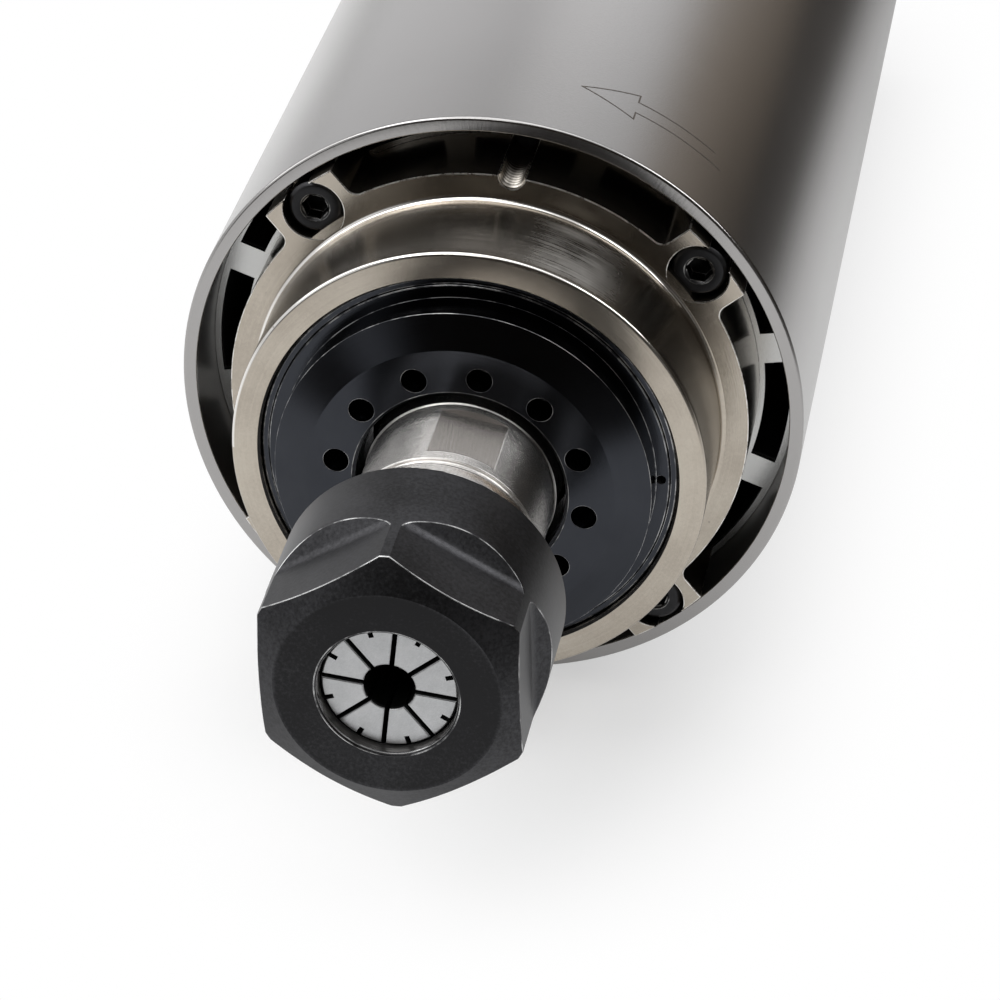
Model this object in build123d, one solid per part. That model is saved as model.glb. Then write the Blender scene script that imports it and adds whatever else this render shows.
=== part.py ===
from build123d import *
import os
from math import asin, cos, degrees, radians, sin, tan

# Round-body spindle motor, cooled by a fan that blows air through the housing to the nose.
# Millimetres. The spindle axis is Y, with the nose towards -Y and +Z up as the motor lies.
# The origin is on the axis, at the face where the front bearing housing seats on the finned housing.
# Angles are counted from +X towards +Z, as seen from the nose.

# Outer tube
TUBE_D = 80.0
TUBE_WALL = 1.8
TUBE_LIP = 10.0
TUBE_CHAMFER = 0.6

# Finned housing, from the tube inwards
HOUSING_LENGTH = 140.0
SKIN_RING_WALL = 0.8
CHANNEL_DEPTH = 3.35
CORE_RING_WALL = 3.0
RIB_COUNT = 12
RIB_WIDTH = 4.2
SCREW_RIB_WIDTH = 9.0

# Front bearing housing, from the finned housing's core ring inwards
LOBE_COUNT = 4
LOBE_ANGLE = 39.7
LOBE_WIDTH = 11.0
LOBE_FILLET = 1.4
LOBE_TO_TUBE = 0.6
FLANGE_STEP = 0.7
FLANGE_THICKNESS = 11.7
FLANGE_LEDGE = 3.5
BOSS_LENGTH = 14.5
BOSS_FILLET = 1.0
BOSS_CHAMFER = 0.4
BOSS_WALL = 3.7
BOSS_MOUTH_CHAMFER = 0.3
SPIGOT_LENGTH = 11.5
BEARING_LIP = 2.5
NOTCH_R = 1.65
NOTCH_ANGLE = 84.7

# Cap screws that hold both bearing housings
SCREW_OUTSET = 0.2
SCREW_R = 2.0
SCREW_HEAD_R = 3.45
SCREW_HEAD_HEIGHT = 4.0
SCREW_HEAD_CHAMFER = 0.4
SCREW_HEAD_SINK = 1.0
SCREW_LENGTH = 14.0
SOCKET_ACROSS = 3.0
SOCKET_DEPTH = 2.2
SCREW_HOLE_GAP = 0.25
COUNTERBORE_GAP = 0.4

# Retaining nut, from its thread inwards
GLAND_LENGTH = 8.9
GLAND_FACE_SINK = 0.7
GLAND_RIM_WIDTH = 2.6
GLAND_RAISED_HEIGHT = 4.1
GLAND_CONE_WIDTH = 4.3
GLAND_CONE_HEIGHT = 1.5
GLAND_TO_SHAFT = 1.3
GLAND_RECESS_DEPTH = 3.0
PIN_HOLE_COUNT = 12
PIN_HOLE_INSET = 2.5
PIN_HOLE_R = 1.6
PIN_HOLE_DEPTH = 5.0
PIN_HOLE_ANGLE = 20.8
BLEED_HOLE_R = 0.6
BLEED_HOLE_INSET = 0.6
BLEED_HOLE_ANGLE = 1.0

# Front bearings, two alike
FRONT_BEARING_WIDTH = 12.0
FRONT_BALL_COUNT = 12

# Rear bearing
REAR_BEARING_OUTER_R = 17.5
REAR_BEARING_BORE_R = 8.5
REAR_BEARING_WIDTH = 10.0
REAR_BEARING_SINK = 3.0
REAR_BALL_COUNT = 9

# What every ball bearing has: its ball's radius as a share of the room between its bore and its
# outside, and the rest as shares of that radius
BALL_SHARE = 0.28
RACE_LAND_SHARE = 0.86
CAGE_WALL_SHARE = 0.42
CAGE_REACH_SHARE = 1.35

# Stator and rotor; the shares are of the room between the shaft and the housing
STATOR_LENGTH = 78.0
STATOR_YOKE_SHARE = 0.21
STATOR_SLOT_COUNT = 24
STATOR_SLOT_WIDTH = 2.6
END_TURN_LENGTH = 11.0
END_TURN_BULGE = 0.7
END_TURN_CORNER_SHARE = 0.4
END_TURN_TO_HOUSING = 4.35
AIR_GAP = 0.5
ROTOR_WALL_SHARE = 0.155
ROTOR_BAR_COUNT = 20
ROTOR_BAR_WIDTH = 2.0
ROTOR_BAR_SHARE = 0.23
ROTOR_BAR_COVER = 0.8
ROTOR_RING_LENGTH = 6.0

# Shaft
NOSE_THREAD_WALL = 2.0
NOSE_THREAD_DEPTH = 0.7
NOSE_THREAD_CHAMFER = 0.8
NECK_DEPTH = 0.5
NECK_LENGTH = 1.2
SHAFT_STEP_Y = -43.8
COLLAR_STEP_Y = -31.0
COLLAR_STEP = 0.35
BEARING_SEAT_STEP = 0.35
SEAT_LEAD_LENGTH = 2.0
SHAFT_SHOULDER = 2.7
SHAFT_SHOULDER_LENGTH = 7.0
ROTOR_SEAT_R = 13.5
ROTOR_SEAT_END = 4.0
SHAFT_REAR_R = 11.0
SHAFT_REAR_END = 2.0
FAN_SEAT_R = 5.0
FLAT_DEPTH = 0.8
FLAT_FRONT_Y = -42.2
FLAT_REAR_Y = -32.2
FLAT_ANGLE = 78.5
DRAW_BORE_R = 5.5

# Collet nut
NUT_FRONT_Y = -76.4
NUT_LENGTH = 21.9
NUT_WALL = 4.5
NUT_FLAT_DEPTH = 2.0
NUT_FACE_STEP = 3.8
NUT_CONE_HEIGHT = 2.2
NUT_FLAT_LENGTH = 9.4
NUT_FLAT_ANGLE = 1.5
NUT_MOUTH_GAP = 0.4
NUT_MOUTH_CHAMFER = 0.3
NUT_REAR_CHAMFER = 0.4
NUT_WEB = 1.0
NUT_WEB_REACH = 0.2
NUT_WEB_OFFSET = 0.6

# Collet
COLLET_LENGTH = 31.5
COLLET_R = 10.5
COLLET_FACE_SINK = 1.5
COLLET_FACE_STEP = 2.8
COLLET_CONE_ANGLE = 30.0
COLLET_TAPER_ANGLE = 8.0
COLLET_TAPER_STEP = 0.1
COLLET_LAND = 0.3
COLLET_GROOVE_DEPTH = 1.3
COLLET_GROOVE_WIDTH = 1.9
COLLET_BORE_R = 3.0
COLLET_SLOT_COUNT = 8
COLLET_SLOT_WIDTH = 0.6
COLLET_SLOT_END = 5.0
COLLET_SLOT_ANGLE = -6.0
COLLET_NOTCH_DEPTH = 0.95
COLLET_TO_SHAFT_TIP = 0.8

# Fan
FAN_TO_HOUSING = 6.0
FAN_HUB_R = 13.0
FAN_HUB_LENGTH = 11.0
FAN_HUB_CORNER = 2.0
FAN_BLADE_COUNT = 9
FAN_BLADE_THICKNESS = 1.3
FAN_BLADE_PITCH = 38.0
FAN_CHORD = 13.0
FAN_CAMBER_R = 16.0
FAN_TO_TUBE = 5.0
FAN_SCREW_R = 2.0
FAN_SCREW_LENGTH = 10.0
FAN_SCREW_HEAD_R = 3.6
FAN_SCREW_HEAD_HEIGHT = 2.4
FAN_SCREW_SOCKET_ACROSS = 2.5
FAN_SCREW_SOCKET_DEPTH = 1.4
WASHER_R = 6.5
WASHER_THICKNESS = 1.2

# Rear housing and rear cover
REAR_FLANGE_THICKNESS = 6.0
REAR_PLATE_THICKNESS = 4.0
REAR_SPIGOT_WALL = 3.0
REAR_HUB_WALL = 4.0
REAR_HUB_RECESS = 2.0
REAR_HUB_LIP = 3.0
SPRING_WIDTH = 2.2
SPRING_SPACE = 1.5
SPRING_GAP = 0.1
REAR_CHAMBER_LENGTH = 15.0
COVER_PLATE = 6.0
COVER_EDGE = 1.5
COVER_SKIRT_LENGTH = 10.0
COVER_SKIRT_WALL = 2.9
WINDOW_COUNT = 12
WINDOW_INNER_R = 17.0
WINDOW_TO_SKIRT = 2.25
WINDOW_WIDTH = 5.0
COVER_SCREW_COUNT = 4
COVER_SCREW_R = 1.5
COVER_SCREW_HEAD_R = 2.9
COVER_SCREW_SINK = 0.4
COVER_SCREW_SOCKET_ACROSS = 2.0
COVER_SCREW_SOCKET_DEPTH = 1.0

# Power connector
CONNECTOR_BODY_R = 7.8
CONNECTOR_FLANGE_R = 10.5
CONNECTOR_FLANGE_THICKNESS = 2.0
CONNECTOR_OUT_LENGTH = 12.0
CONNECTOR_IN_LENGTH = 9.0
CONNECTOR_WALL = 1.1
CONNECTOR_CAVITY_DEPTH = 9.0
CONNECTOR_INSERT_LENGTH = 9.0
CONNECTOR_PIN_COUNT = 4
CONNECTOR_PIN_CIRCLE_R = 4.5
CONNECTOR_PIN_R = 0.8
CONNECTOR_PIN_LENGTH = 7.0
CONNECTOR_PIN_TAIL = 3.0
CONNECTOR_PIN_CHAMFER = 0.4
CONNECTOR_NUT_LENGTH = 2.4
CONNECTOR_NUT_ACROSS = 19.0

# Motor leads, from the windings past the fan to the connector's pins
LEAD_R = 0.8
LEAD_BEND_SHARE = 0.46
LEAD_ANGLE = 84.7
LEAD_INSET = 1.75
LEAD_SLOT_GAP = 0.7
LEAD_PIN_ANGLE = 15.0
LEAD_STAGGER = 0.16

# Clearances, all radial
SEAT_FIT = 0.05
RUNNING_FIT = 0.08
THREAD_FIT = 0.1
BALL_GAP = 0.28
CAGE_FIT = 0.12
SLOT_FIT = 0.15
WASHER_FIT = 0.2
PIN_FIT = 0.03

# How far a cutter reaches past the face that it opens, and how far one shape runs into the next
CUT = 1.0

# Radii that follow from the sizes, from the tube inwards
TUBE_R = TUBE_D / 2
TUBE_INNER_R = TUBE_R - TUBE_WALL
SKIN_RING_OUTER_R = TUBE_INNER_R - SEAT_FIT
SKIN_RING_INNER_R = SKIN_RING_OUTER_R - SKIN_RING_WALL
CORE_RING_OUTER_R = SKIN_RING_INNER_R - CHANNEL_DEPTH
CORE_RING_INNER_R = CORE_RING_OUTER_R - CORE_RING_WALL
SPIGOT_R = CORE_RING_INNER_R - SEAT_FIT
FLANGE_R = CORE_RING_OUTER_R - FLANGE_STEP
SCREW_CIRCLE_R = CORE_RING_OUTER_R + SCREW_OUTSET
BOSS_R = FLANGE_R - FLANGE_LEDGE
GLAND_THREAD_R = BOSS_R - BOSS_WALL
GLAND_RAISED_R = GLAND_THREAD_R - GLAND_RIM_WIDTH
GLAND_FLAT_R = GLAND_RAISED_R - GLAND_CONE_WIDTH
FRONT_BEARING_OUTER_R = GLAND_THREAD_R - GLAND_RIM_WIDTH

# Radii that follow from the collet and the shaft, outwards
COLLET_FACE_R = COLLET_R - COLLET_FACE_STEP
COLLET_GROOVE_R = COLLET_R - COLLET_GROOVE_DEPTH
COLLET_TAPER_R = COLLET_R - COLLET_TAPER_STEP
NOSE_THREAD_R = COLLET_R + NOSE_THREAD_WALL
SHAFT_NOSE_R = NOSE_THREAD_R - NOSE_THREAD_DEPTH
NECK_R = SHAFT_NOSE_R - NECK_DEPTH
COLLAR_R = SHAFT_NOSE_R + COLLAR_STEP
FRONT_BEARING_BORE_R = COLLAR_R + BEARING_SEAT_STEP
SHAFT_SHOULDER_R = FRONT_BEARING_BORE_R + SHAFT_SHOULDER
NUT_R = NOSE_THREAD_R + NUT_WALL
NUT_FLAT_R = NUT_R - NUT_FLAT_DEPTH
NUT_FACE_R = NUT_R - NUT_FACE_STEP
NUT_OPENING_R = COLLET_FACE_R + NUT_MOUTH_GAP
NUT_WEB_HOLE_R = COLLET_R - NUT_WEB_REACH
GLAND_BORE_R = SHAFT_NOSE_R + GLAND_TO_SHAFT
PIN_HOLE_CIRCLE_R = GLAND_BORE_R + PIN_HOLE_INSET
STATOR_R = CORE_RING_INNER_R - SEAT_FIT
LAMINATION_ROOM = STATOR_R - ROTOR_SEAT_R
ROTOR_BAR_INNER_R = ROTOR_SEAT_R + LAMINATION_ROOM * ROTOR_WALL_SHARE
ROTOR_BAR_OUTER_R = ROTOR_BAR_INNER_R + LAMINATION_ROOM * ROTOR_BAR_SHARE
ROTOR_R = ROTOR_BAR_OUTER_R + ROTOR_BAR_COVER
STATOR_BORE_R = ROTOR_R + AIR_GAP
SLOT_BOTTOM_R = STATOR_R - LAMINATION_ROOM * STATOR_YOKE_SHARE
WINDING_INNER_R = STATOR_BORE_R + SLOT_FIT * 4
WINDING_OUTER_R = SLOT_BOTTOM_R - SLOT_FIT

# Places along the axis that follow from the sizes
TUBE_FRONT_Y = -TUBE_LIP
FLANGE_FACE_Y = -FLANGE_THICKNESS
BOSS_FACE_Y = FLANGE_FACE_Y - BOSS_LENGTH
GLAND_RIM_Y = BOSS_FACE_Y + GLAND_FACE_SINK
GLAND_REAR_Y = GLAND_RIM_Y + GLAND_LENGTH
FRONT_BEARING_YS = [GLAND_REAR_Y, GLAND_REAR_Y + FRONT_BEARING_WIDTH]
FRONT_BEARING_END_Y = GLAND_REAR_Y + 2 * FRONT_BEARING_WIDTH
SHOULDER_END_Y = FRONT_BEARING_END_Y + SHAFT_SHOULDER_LENGTH
COLLET_FACE_Y = NUT_FRONT_Y + COLLET_FACE_SINK
COLLET_REAR_Y = COLLET_FACE_Y + COLLET_LENGTH
COLLET_CONE_END_Y = COLLET_FACE_Y + COLLET_FACE_STEP / tan(radians(COLLET_CONE_ANGLE))
COLLET_GROOVE_Y = COLLET_CONE_END_Y + COLLET_LAND
COLLET_TAPER_Y = COLLET_GROOVE_Y + COLLET_GROOVE_WIDTH
NUT_WEB_Y = COLLET_GROOVE_Y + (COLLET_GROOVE_WIDTH - NUT_WEB) / 2
NUT_REAR_Y = NUT_FRONT_Y + NUT_LENGTH
SHAFT_TIP_Y = NUT_WEB_Y + NUT_WEB + COLLET_TO_SHAFT_TIP
STATOR_FRONT_Y = SPIGOT_LENGTH + END_TURN_TO_HOUSING + END_TURN_LENGTH + SLOT_FIT
STATOR_REAR_Y = STATOR_FRONT_Y + STATOR_LENGTH
END_TURN_REAR_Y = STATOR_REAR_Y + SLOT_FIT + END_TURN_LENGTH
REAR_SPIGOT_Y = HOUSING_LENGTH - SPIGOT_LENGTH
REAR_FACE_Y = HOUSING_LENGTH + REAR_FLANGE_THICKNESS
REAR_BEARING_END_Y = REAR_FACE_Y - REAR_BEARING_SINK
REAR_BEARING_FRONT_Y = REAR_BEARING_END_Y - REAR_BEARING_WIDTH
FAN_FRONT_Y = REAR_FACE_Y + FAN_TO_HOUSING
FAN_REAR_Y = FAN_FRONT_Y + FAN_HUB_LENGTH
FAN_SCREW_TOP_Y = FAN_REAR_Y + WASHER_THICKNESS + FAN_SCREW_HEAD_HEIGHT
TUBE_REAR_Y = FAN_REAR_Y + REAR_CHAMBER_LENGTH
COVER_REAR_Y = TUBE_REAR_Y + COVER_PLATE
COVER_SCREW_Y = TUBE_REAR_Y - COVER_SKIRT_LENGTH / 2
CONNECTOR_FRONT_Y = TUBE_REAR_Y - CONNECTOR_IN_LENGTH
CONNECTOR_MOUTH_Y = COVER_REAR_Y + CONNECTOR_OUT_LENGTH
INSERT_FACE_Y = CONNECTOR_MOUTH_Y - CONNECTOR_CAVITY_DEPTH
INSERT_BACK_Y = INSERT_FACE_Y - CONNECTOR_INSERT_LENGTH
PIN_TAIL_Y = INSERT_BACK_Y - CONNECTOR_PIN_TAIL

# The fan, the rear cover and the leads, inside the tube
FAN_R = TUBE_INNER_R - FAN_TO_TUBE
COVER_SKIRT_R = TUBE_INNER_R - SEAT_FIT
COVER_SKIRT_INNER_R = COVER_SKIRT_R - COVER_SKIRT_WALL
WINDOW_OUTER_R = COVER_SKIRT_INNER_R - WINDOW_TO_SKIRT
LEAD_START_R = WINDING_OUTER_R - LEAD_INSET
LEAD_WALL_R = FAN_R + FAN_TO_TUBE / 2
LEAD_OUT_Y = REAR_FACE_Y + FAN_TO_HOUSING / 2
LEAD_TURN_Y = FAN_SCREW_TOP_Y + LEAD_R - RUNNING_FIT


def turned(points):
    """A solid of revolution about the spindle axis, from (radius, y) points."""
    return revolve(make_face(Polyline(*points, close=True)), Axis.Y)


def ring(outer_r, inner_r, front_y, rear_y):
    """A plain ring on the spindle axis."""
    return turned([(inner_r, front_y), (outer_r, front_y), (outer_r, rear_y), (inner_r, rear_y)])


def rod(radius, front_y, rear_y):
    """A plain round bar on the spindle axis."""
    return turned([(0, front_y), (radius, front_y), (radius, rear_y), (0, rear_y)])


def prism(outline, front_y, rear_y):
    """A flat outline, drawn as seen from the nose, given its length along the axis."""
    rear = Plane(origin=(0, rear_y, 0), x_dir=(1, 0, 0), z_dir=(0, -1, 0))
    return extrude(rear * outline, amount=rear_y - front_y)


def turn(shape, angle):
    """Turns a shape about the spindle axis, from +X towards +Z."""
    return Rot(0, -angle, 0) * shape


def around(shape, count, first_angle):
    """Copies of a shape, evenly spaced about the spindle axis."""
    return [turn(shape, first_angle + 360 / count * i) for i in range(count)]


def off_axis(shape, radius):
    """Moves an on-axis shape out to a radius, at angle 0."""
    return Pos(radius, 0, 0) * shape


def spoke(width, inner_r, outer_r):
    """A radial bar's outline at angle 0."""
    return Pos((inner_r + outer_r) / 2, 0) * Rectangle(outer_r - inner_r, width)


def fan_out(outline, count, first_angle):
    """Copies of a flat outline, evenly spaced about its origin."""
    return [Rot(0, 0, first_angle + 360 / count * i) * outline for i in range(count)]


def outer_tube():
    """The outer skin, with a chamfer at both ends and holes for the cover's screws."""
    tube = turned([
        (TUBE_INNER_R, TUBE_FRONT_Y), (TUBE_R - TUBE_CHAMFER, TUBE_FRONT_Y),
        (TUBE_R, TUBE_FRONT_Y + TUBE_CHAMFER), (TUBE_R, TUBE_REAR_Y - TUBE_CHAMFER),
        (TUBE_R - TUBE_CHAMFER, TUBE_REAR_Y), (TUBE_INNER_R, TUBE_REAR_Y),
    ])
    return tube - cover_screw_shapes(SEAT_FIT)


def finned_housing():
    """The extruded core: a ring for the stator, ribs, and a thin skin ring against the tube."""
    outline = Circle(CORE_RING_OUTER_R) + (Circle(SKIN_RING_OUTER_R) - Circle(SKIN_RING_INNER_R))
    rib_foot = CORE_RING_OUTER_R - CORE_RING_WALL / 2
    rib_top = SKIN_RING_OUTER_R - SKIN_RING_WALL / 2
    outline += fan_out(spoke(RIB_WIDTH, rib_foot, rib_top), RIB_COUNT, LOBE_ANGLE)
    outline += fan_out(spoke(SCREW_RIB_WIDTH, rib_foot, rib_top), LOBE_COUNT, LOBE_ANGLE)
    outline -= Circle(CORE_RING_INNER_R)
    housing = prism(outline, 0, HOUSING_LENGTH)
    hole_r = SCREW_R + SEAT_FIT
    front_hole = off_axis(rod(hole_r, -CUT, SCREW_LENGTH), SCREW_CIRCLE_R)
    rear_hole = off_axis(rod(hole_r, HOUSING_LENGTH - SCREW_LENGTH, HOUSING_LENGTH + CUT), SCREW_CIRCLE_R)
    housing -= around(front_hole, LOBE_COUNT, LOBE_ANGLE)
    housing -= around(rear_hole, LOBE_COUNT, LOBE_ANGLE)
    return housing


def lobed_disc(front_y, rear_y):
    """A disc with four square-shouldered lobes that reach almost to the tube."""
    lobe_r = TUBE_INNER_R - LOBE_TO_TUBE
    outline = Circle(FLANGE_R) + fan_out(spoke(LOBE_WIDTH, 0, TUBE_R), LOBE_COUNT, LOBE_ANGLE)
    inner = [v for v in outline.vertices() if (v.X**2 + v.Y**2)**0.5 < lobe_r]
    outline = fillet(inner, LOBE_FILLET) & Circle(lobe_r)
    return prism(outline, front_y, rear_y)


def screw_holes(head_seat_y, face_y, far_y):
    """Clearance holes with counterbores that break out through the lobes."""
    side = CUT if far_y > face_y else -CUT
    low, high = sorted((face_y - side, head_seat_y))
    hole_low, hole_high = sorted((face_y - side, far_y + side))
    bore = rod(SCREW_HEAD_R + COUNTERBORE_GAP, low, high) + rod(SCREW_R + SCREW_HOLE_GAP, hole_low, hole_high)
    return around(off_axis(bore, SCREW_CIRCLE_R), LOBE_COUNT, LOBE_ANGLE)


def front_housing():
    """Four-lobed flange, turned boss and spigot, bored for the bearings and the retaining nut."""
    body = lobed_disc(FLANGE_FACE_Y, 0)
    foot_r = BOSS_R + BOSS_FILLET
    boss = turned([
        (0, BOSS_FACE_Y), (BOSS_R - BOSS_CHAMFER, BOSS_FACE_Y), (BOSS_R, BOSS_FACE_Y + BOSS_CHAMFER),
        (BOSS_R, FLANGE_FACE_Y - BOSS_FILLET), (foot_r, FLANGE_FACE_Y), (foot_r, -CUT), (0, -CUT),
    ])
    cove = off_axis_torus(foot_r, FLANGE_FACE_Y - BOSS_FILLET, BOSS_FILLET)
    body = body + (boss - cove) + rod(SPIGOT_R, -CUT, SPIGOT_LENGTH)
    lip_r = FRONT_BEARING_OUTER_R - BEARING_LIP
    pocket_r = FRONT_BEARING_OUTER_R + SEAT_FIT
    mouth_r = GLAND_THREAD_R + THREAD_FIT
    body -= turned([
        (0, BOSS_FACE_Y - CUT), (mouth_r + BOSS_MOUTH_CHAMFER + CUT, BOSS_FACE_Y - CUT),
        (mouth_r, BOSS_FACE_Y + BOSS_MOUTH_CHAMFER), (mouth_r, GLAND_REAR_Y), (pocket_r, GLAND_REAR_Y),
        (pocket_r, FRONT_BEARING_END_Y), (lip_r, FRONT_BEARING_END_Y),
        (lip_r, SPIGOT_LENGTH + CUT), (0, SPIGOT_LENGTH + CUT),
    ])
    body -= screw_holes(FLANGE_FACE_Y + SCREW_HEAD_SINK + SCREW_HEAD_HEIGHT, FLANGE_FACE_Y, 0)
    notch = off_axis(rod(NOTCH_R, FLANGE_FACE_Y - CUT, CUT), FLANGE_R)
    return body - turn(notch, NOTCH_ANGLE)


def off_axis_torus(major_r, y, minor_r):
    """A round bar bent into a ring about the spindle axis."""
    return Pos(0, y, 0) * Rot(90, 0, 0) * Torus(major_r, minor_r)


def cap_screw(head_top_y, direction):
    """A socket cap screw along the axis; direction is +1 when its tip points to the rear."""
    under = head_top_y + direction * SCREW_HEAD_HEIGHT
    tip = under + direction * SCREW_LENGTH
    head = rod(SCREW_HEAD_R, *sorted((head_top_y, under)))
    top_edge = head.edges().filter_by(GeomType.CIRCLE).sort_by(Axis.Y)[0 if direction > 0 else -1]
    head = chamfer(top_edge, SCREW_HEAD_CHAMFER)
    shank = rod(SCREW_R, *sorted((under, tip)))
    socket = RegularPolygon(SOCKET_ACROSS / 2, 6, major_radius=False)
    hex_hole = prism(socket, *sorted((head_top_y - direction, head_top_y + direction * SOCKET_DEPTH)))
    return head + shank - hex_hole


def front_screws():
    """Four cap screws, their heads sunk in the lobes."""
    screw = off_axis(cap_screw(FLANGE_FACE_Y + SCREW_HEAD_SINK, 1), SCREW_CIRCLE_R)
    return around(screw, LOBE_COUNT, LOBE_ANGLE)


def retaining_nut():
    """The threaded ring that holds the front bearings, with pin holes for its wrench."""
    raised_y = GLAND_RIM_Y - GLAND_RAISED_HEIGHT
    face_y = raised_y - GLAND_CONE_HEIGHT
    foot_r = FRONT_BEARING_OUTER_R - BEARING_LIP
    recess_y = GLAND_REAR_Y - GLAND_RECESS_DEPTH
    nut = turned([
        (GLAND_BORE_R, face_y + BOSS_CHAMFER), (GLAND_BORE_R + BOSS_CHAMFER, face_y), (GLAND_FLAT_R, face_y),
        (GLAND_RAISED_R, raised_y), (GLAND_RAISED_R, GLAND_RIM_Y), (GLAND_THREAD_R, GLAND_RIM_Y),
        (GLAND_THREAD_R, GLAND_REAR_Y), (foot_r, GLAND_REAR_Y), (foot_r, recess_y), (GLAND_BORE_R, recess_y),
    ])
    pin_hole = off_axis(rod(PIN_HOLE_R, face_y - CUT, face_y + PIN_HOLE_DEPTH), PIN_HOLE_CIRCLE_R)
    nut -= around(pin_hole, PIN_HOLE_COUNT, PIN_HOLE_ANGLE)
    bleed_r = GLAND_RAISED_R + BLEED_HOLE_INSET
    bleed = off_axis(rod(BLEED_HOLE_R, raised_y - CUT, GLAND_REAR_Y + CUT), bleed_r)
    return nut - turn(bleed, BLEED_HOLE_ANGLE)


def bearing(bore_r, outer_r, width, front_y, ball_count):
    """A ball bearing's four pieces: outer ring, inner ring, balls and cage."""
    pitch_r = (bore_r + outer_r) / 2
    ball_r = (outer_r - bore_r) * BALL_SHARE
    mid_y = front_y + width / 2
    land = ball_r * RACE_LAND_SHARE
    race = off_axis_torus(pitch_r, mid_y, ball_r + BALL_GAP)
    outer = ring(outer_r, pitch_r + land, front_y, front_y + width) - race
    inner = ring(pitch_r - land, bore_r + SEAT_FIT / 2, front_y, front_y + width) - race
    ball = Pos(pitch_r, mid_y, 0) * Sphere(ball_r)
    balls = around(ball, ball_count, 0)
    cage_wall = ball_r * CAGE_WALL_SHARE
    cage_reach = ball_r * CAGE_REACH_SHARE
    cage = ring(pitch_r + cage_wall, pitch_r - cage_wall, mid_y - cage_reach, mid_y + cage_reach)
    pocket = Pos(pitch_r, mid_y, 0) * Rot(0, 90, 0) * Cylinder(ball_r + CAGE_FIT, ball_r * 2)
    cage -= around(pocket, ball_count, 0)
    return outer, inner, balls, cage


def spindle_shaft():
    """The turned and ground shaft, with the collet's taper in its nose and two wrench flats."""
    neck_y = SHAFT_STEP_Y - NECK_LENGTH
    thread_end = neck_y - (NOSE_THREAD_R - NECK_R)
    rotor_end = STATOR_REAR_Y + ROTOR_RING_LENGTH + ROTOR_SEAT_END
    seat_y = GLAND_REAR_Y - SEAT_LEAD_LENGTH
    rear_seat_end = REAR_BEARING_END_Y + SHAFT_REAR_END
    end_y = FAN_REAR_Y - WASHER_THICKNESS / 2
    shaft = turned([
        (0, SHAFT_TIP_Y), (NOSE_THREAD_R - NOSE_THREAD_CHAMFER, SHAFT_TIP_Y),
        (NOSE_THREAD_R, SHAFT_TIP_Y + NOSE_THREAD_CHAMFER), (NOSE_THREAD_R, thread_end), (NECK_R, neck_y),
        (NECK_R, SHAFT_STEP_Y), (SHAFT_NOSE_R, SHAFT_STEP_Y), (SHAFT_NOSE_R, COLLAR_STEP_Y),
        (COLLAR_R, COLLAR_STEP_Y + COLLAR_STEP), (COLLAR_R, seat_y),
        (FRONT_BEARING_BORE_R, seat_y + BEARING_SEAT_STEP), (FRONT_BEARING_BORE_R, FRONT_BEARING_END_Y),
        (SHAFT_SHOULDER_R, FRONT_BEARING_END_Y), (SHAFT_SHOULDER_R, SHOULDER_END_Y),
        (ROTOR_SEAT_R, SHOULDER_END_Y), (ROTOR_SEAT_R, rotor_end), (SHAFT_REAR_R, rotor_end),
        (SHAFT_REAR_R, REAR_BEARING_FRONT_Y), (REAR_BEARING_BORE_R, REAR_BEARING_FRONT_Y),
        (REAR_BEARING_BORE_R, rear_seat_end), (FAN_SEAT_R, rear_seat_end), (FAN_SEAT_R, end_y), (0, end_y),
    ])
    tip_r = collet_taper_r(SHAFT_TIP_Y) + 2 * SEAT_FIT
    end_r = collet_taper_r(COLLET_REAR_Y) + 2 * SEAT_FIT
    drill_point = DRAW_BORE_R * tan(radians(30))
    shaft -= turned([
        (0, SHAFT_TIP_Y - CUT), (tip_r, SHAFT_TIP_Y - CUT), (tip_r, SHAFT_TIP_Y), (end_r, COLLET_REAR_Y),
        (end_r, COLLET_REAR_Y + CUT), (DRAW_BORE_R, COLLET_REAR_Y + 2 * CUT),
        (DRAW_BORE_R, GLAND_REAR_Y), (0, GLAND_REAR_Y + drill_point),
    ])
    flat_mid = (FLAT_FRONT_Y + FLAT_REAR_Y) / 2
    cutter = Box(SHAFT_NOSE_R, FLAT_REAR_Y - FLAT_FRONT_Y, 3 * SHAFT_NOSE_R)
    shaft -= around(Pos(1.5 * SHAFT_NOSE_R - FLAT_DEPTH, flat_mid, 0) * cutter, 2, FLAT_ANGLE)
    screw_end_y = FAN_REAR_Y + WASHER_THICKNESS - FAN_SCREW_LENGTH
    return shaft - rod(FAN_SCREW_R + SEAT_FIT, screw_end_y - CUT, FAN_REAR_Y)


def collet_taper_r(y):
    """The collet's outer radius along its long taper."""
    return COLLET_TAPER_R - (y - COLLET_TAPER_Y) * tan(radians(COLLET_TAPER_ANGLE))


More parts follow.
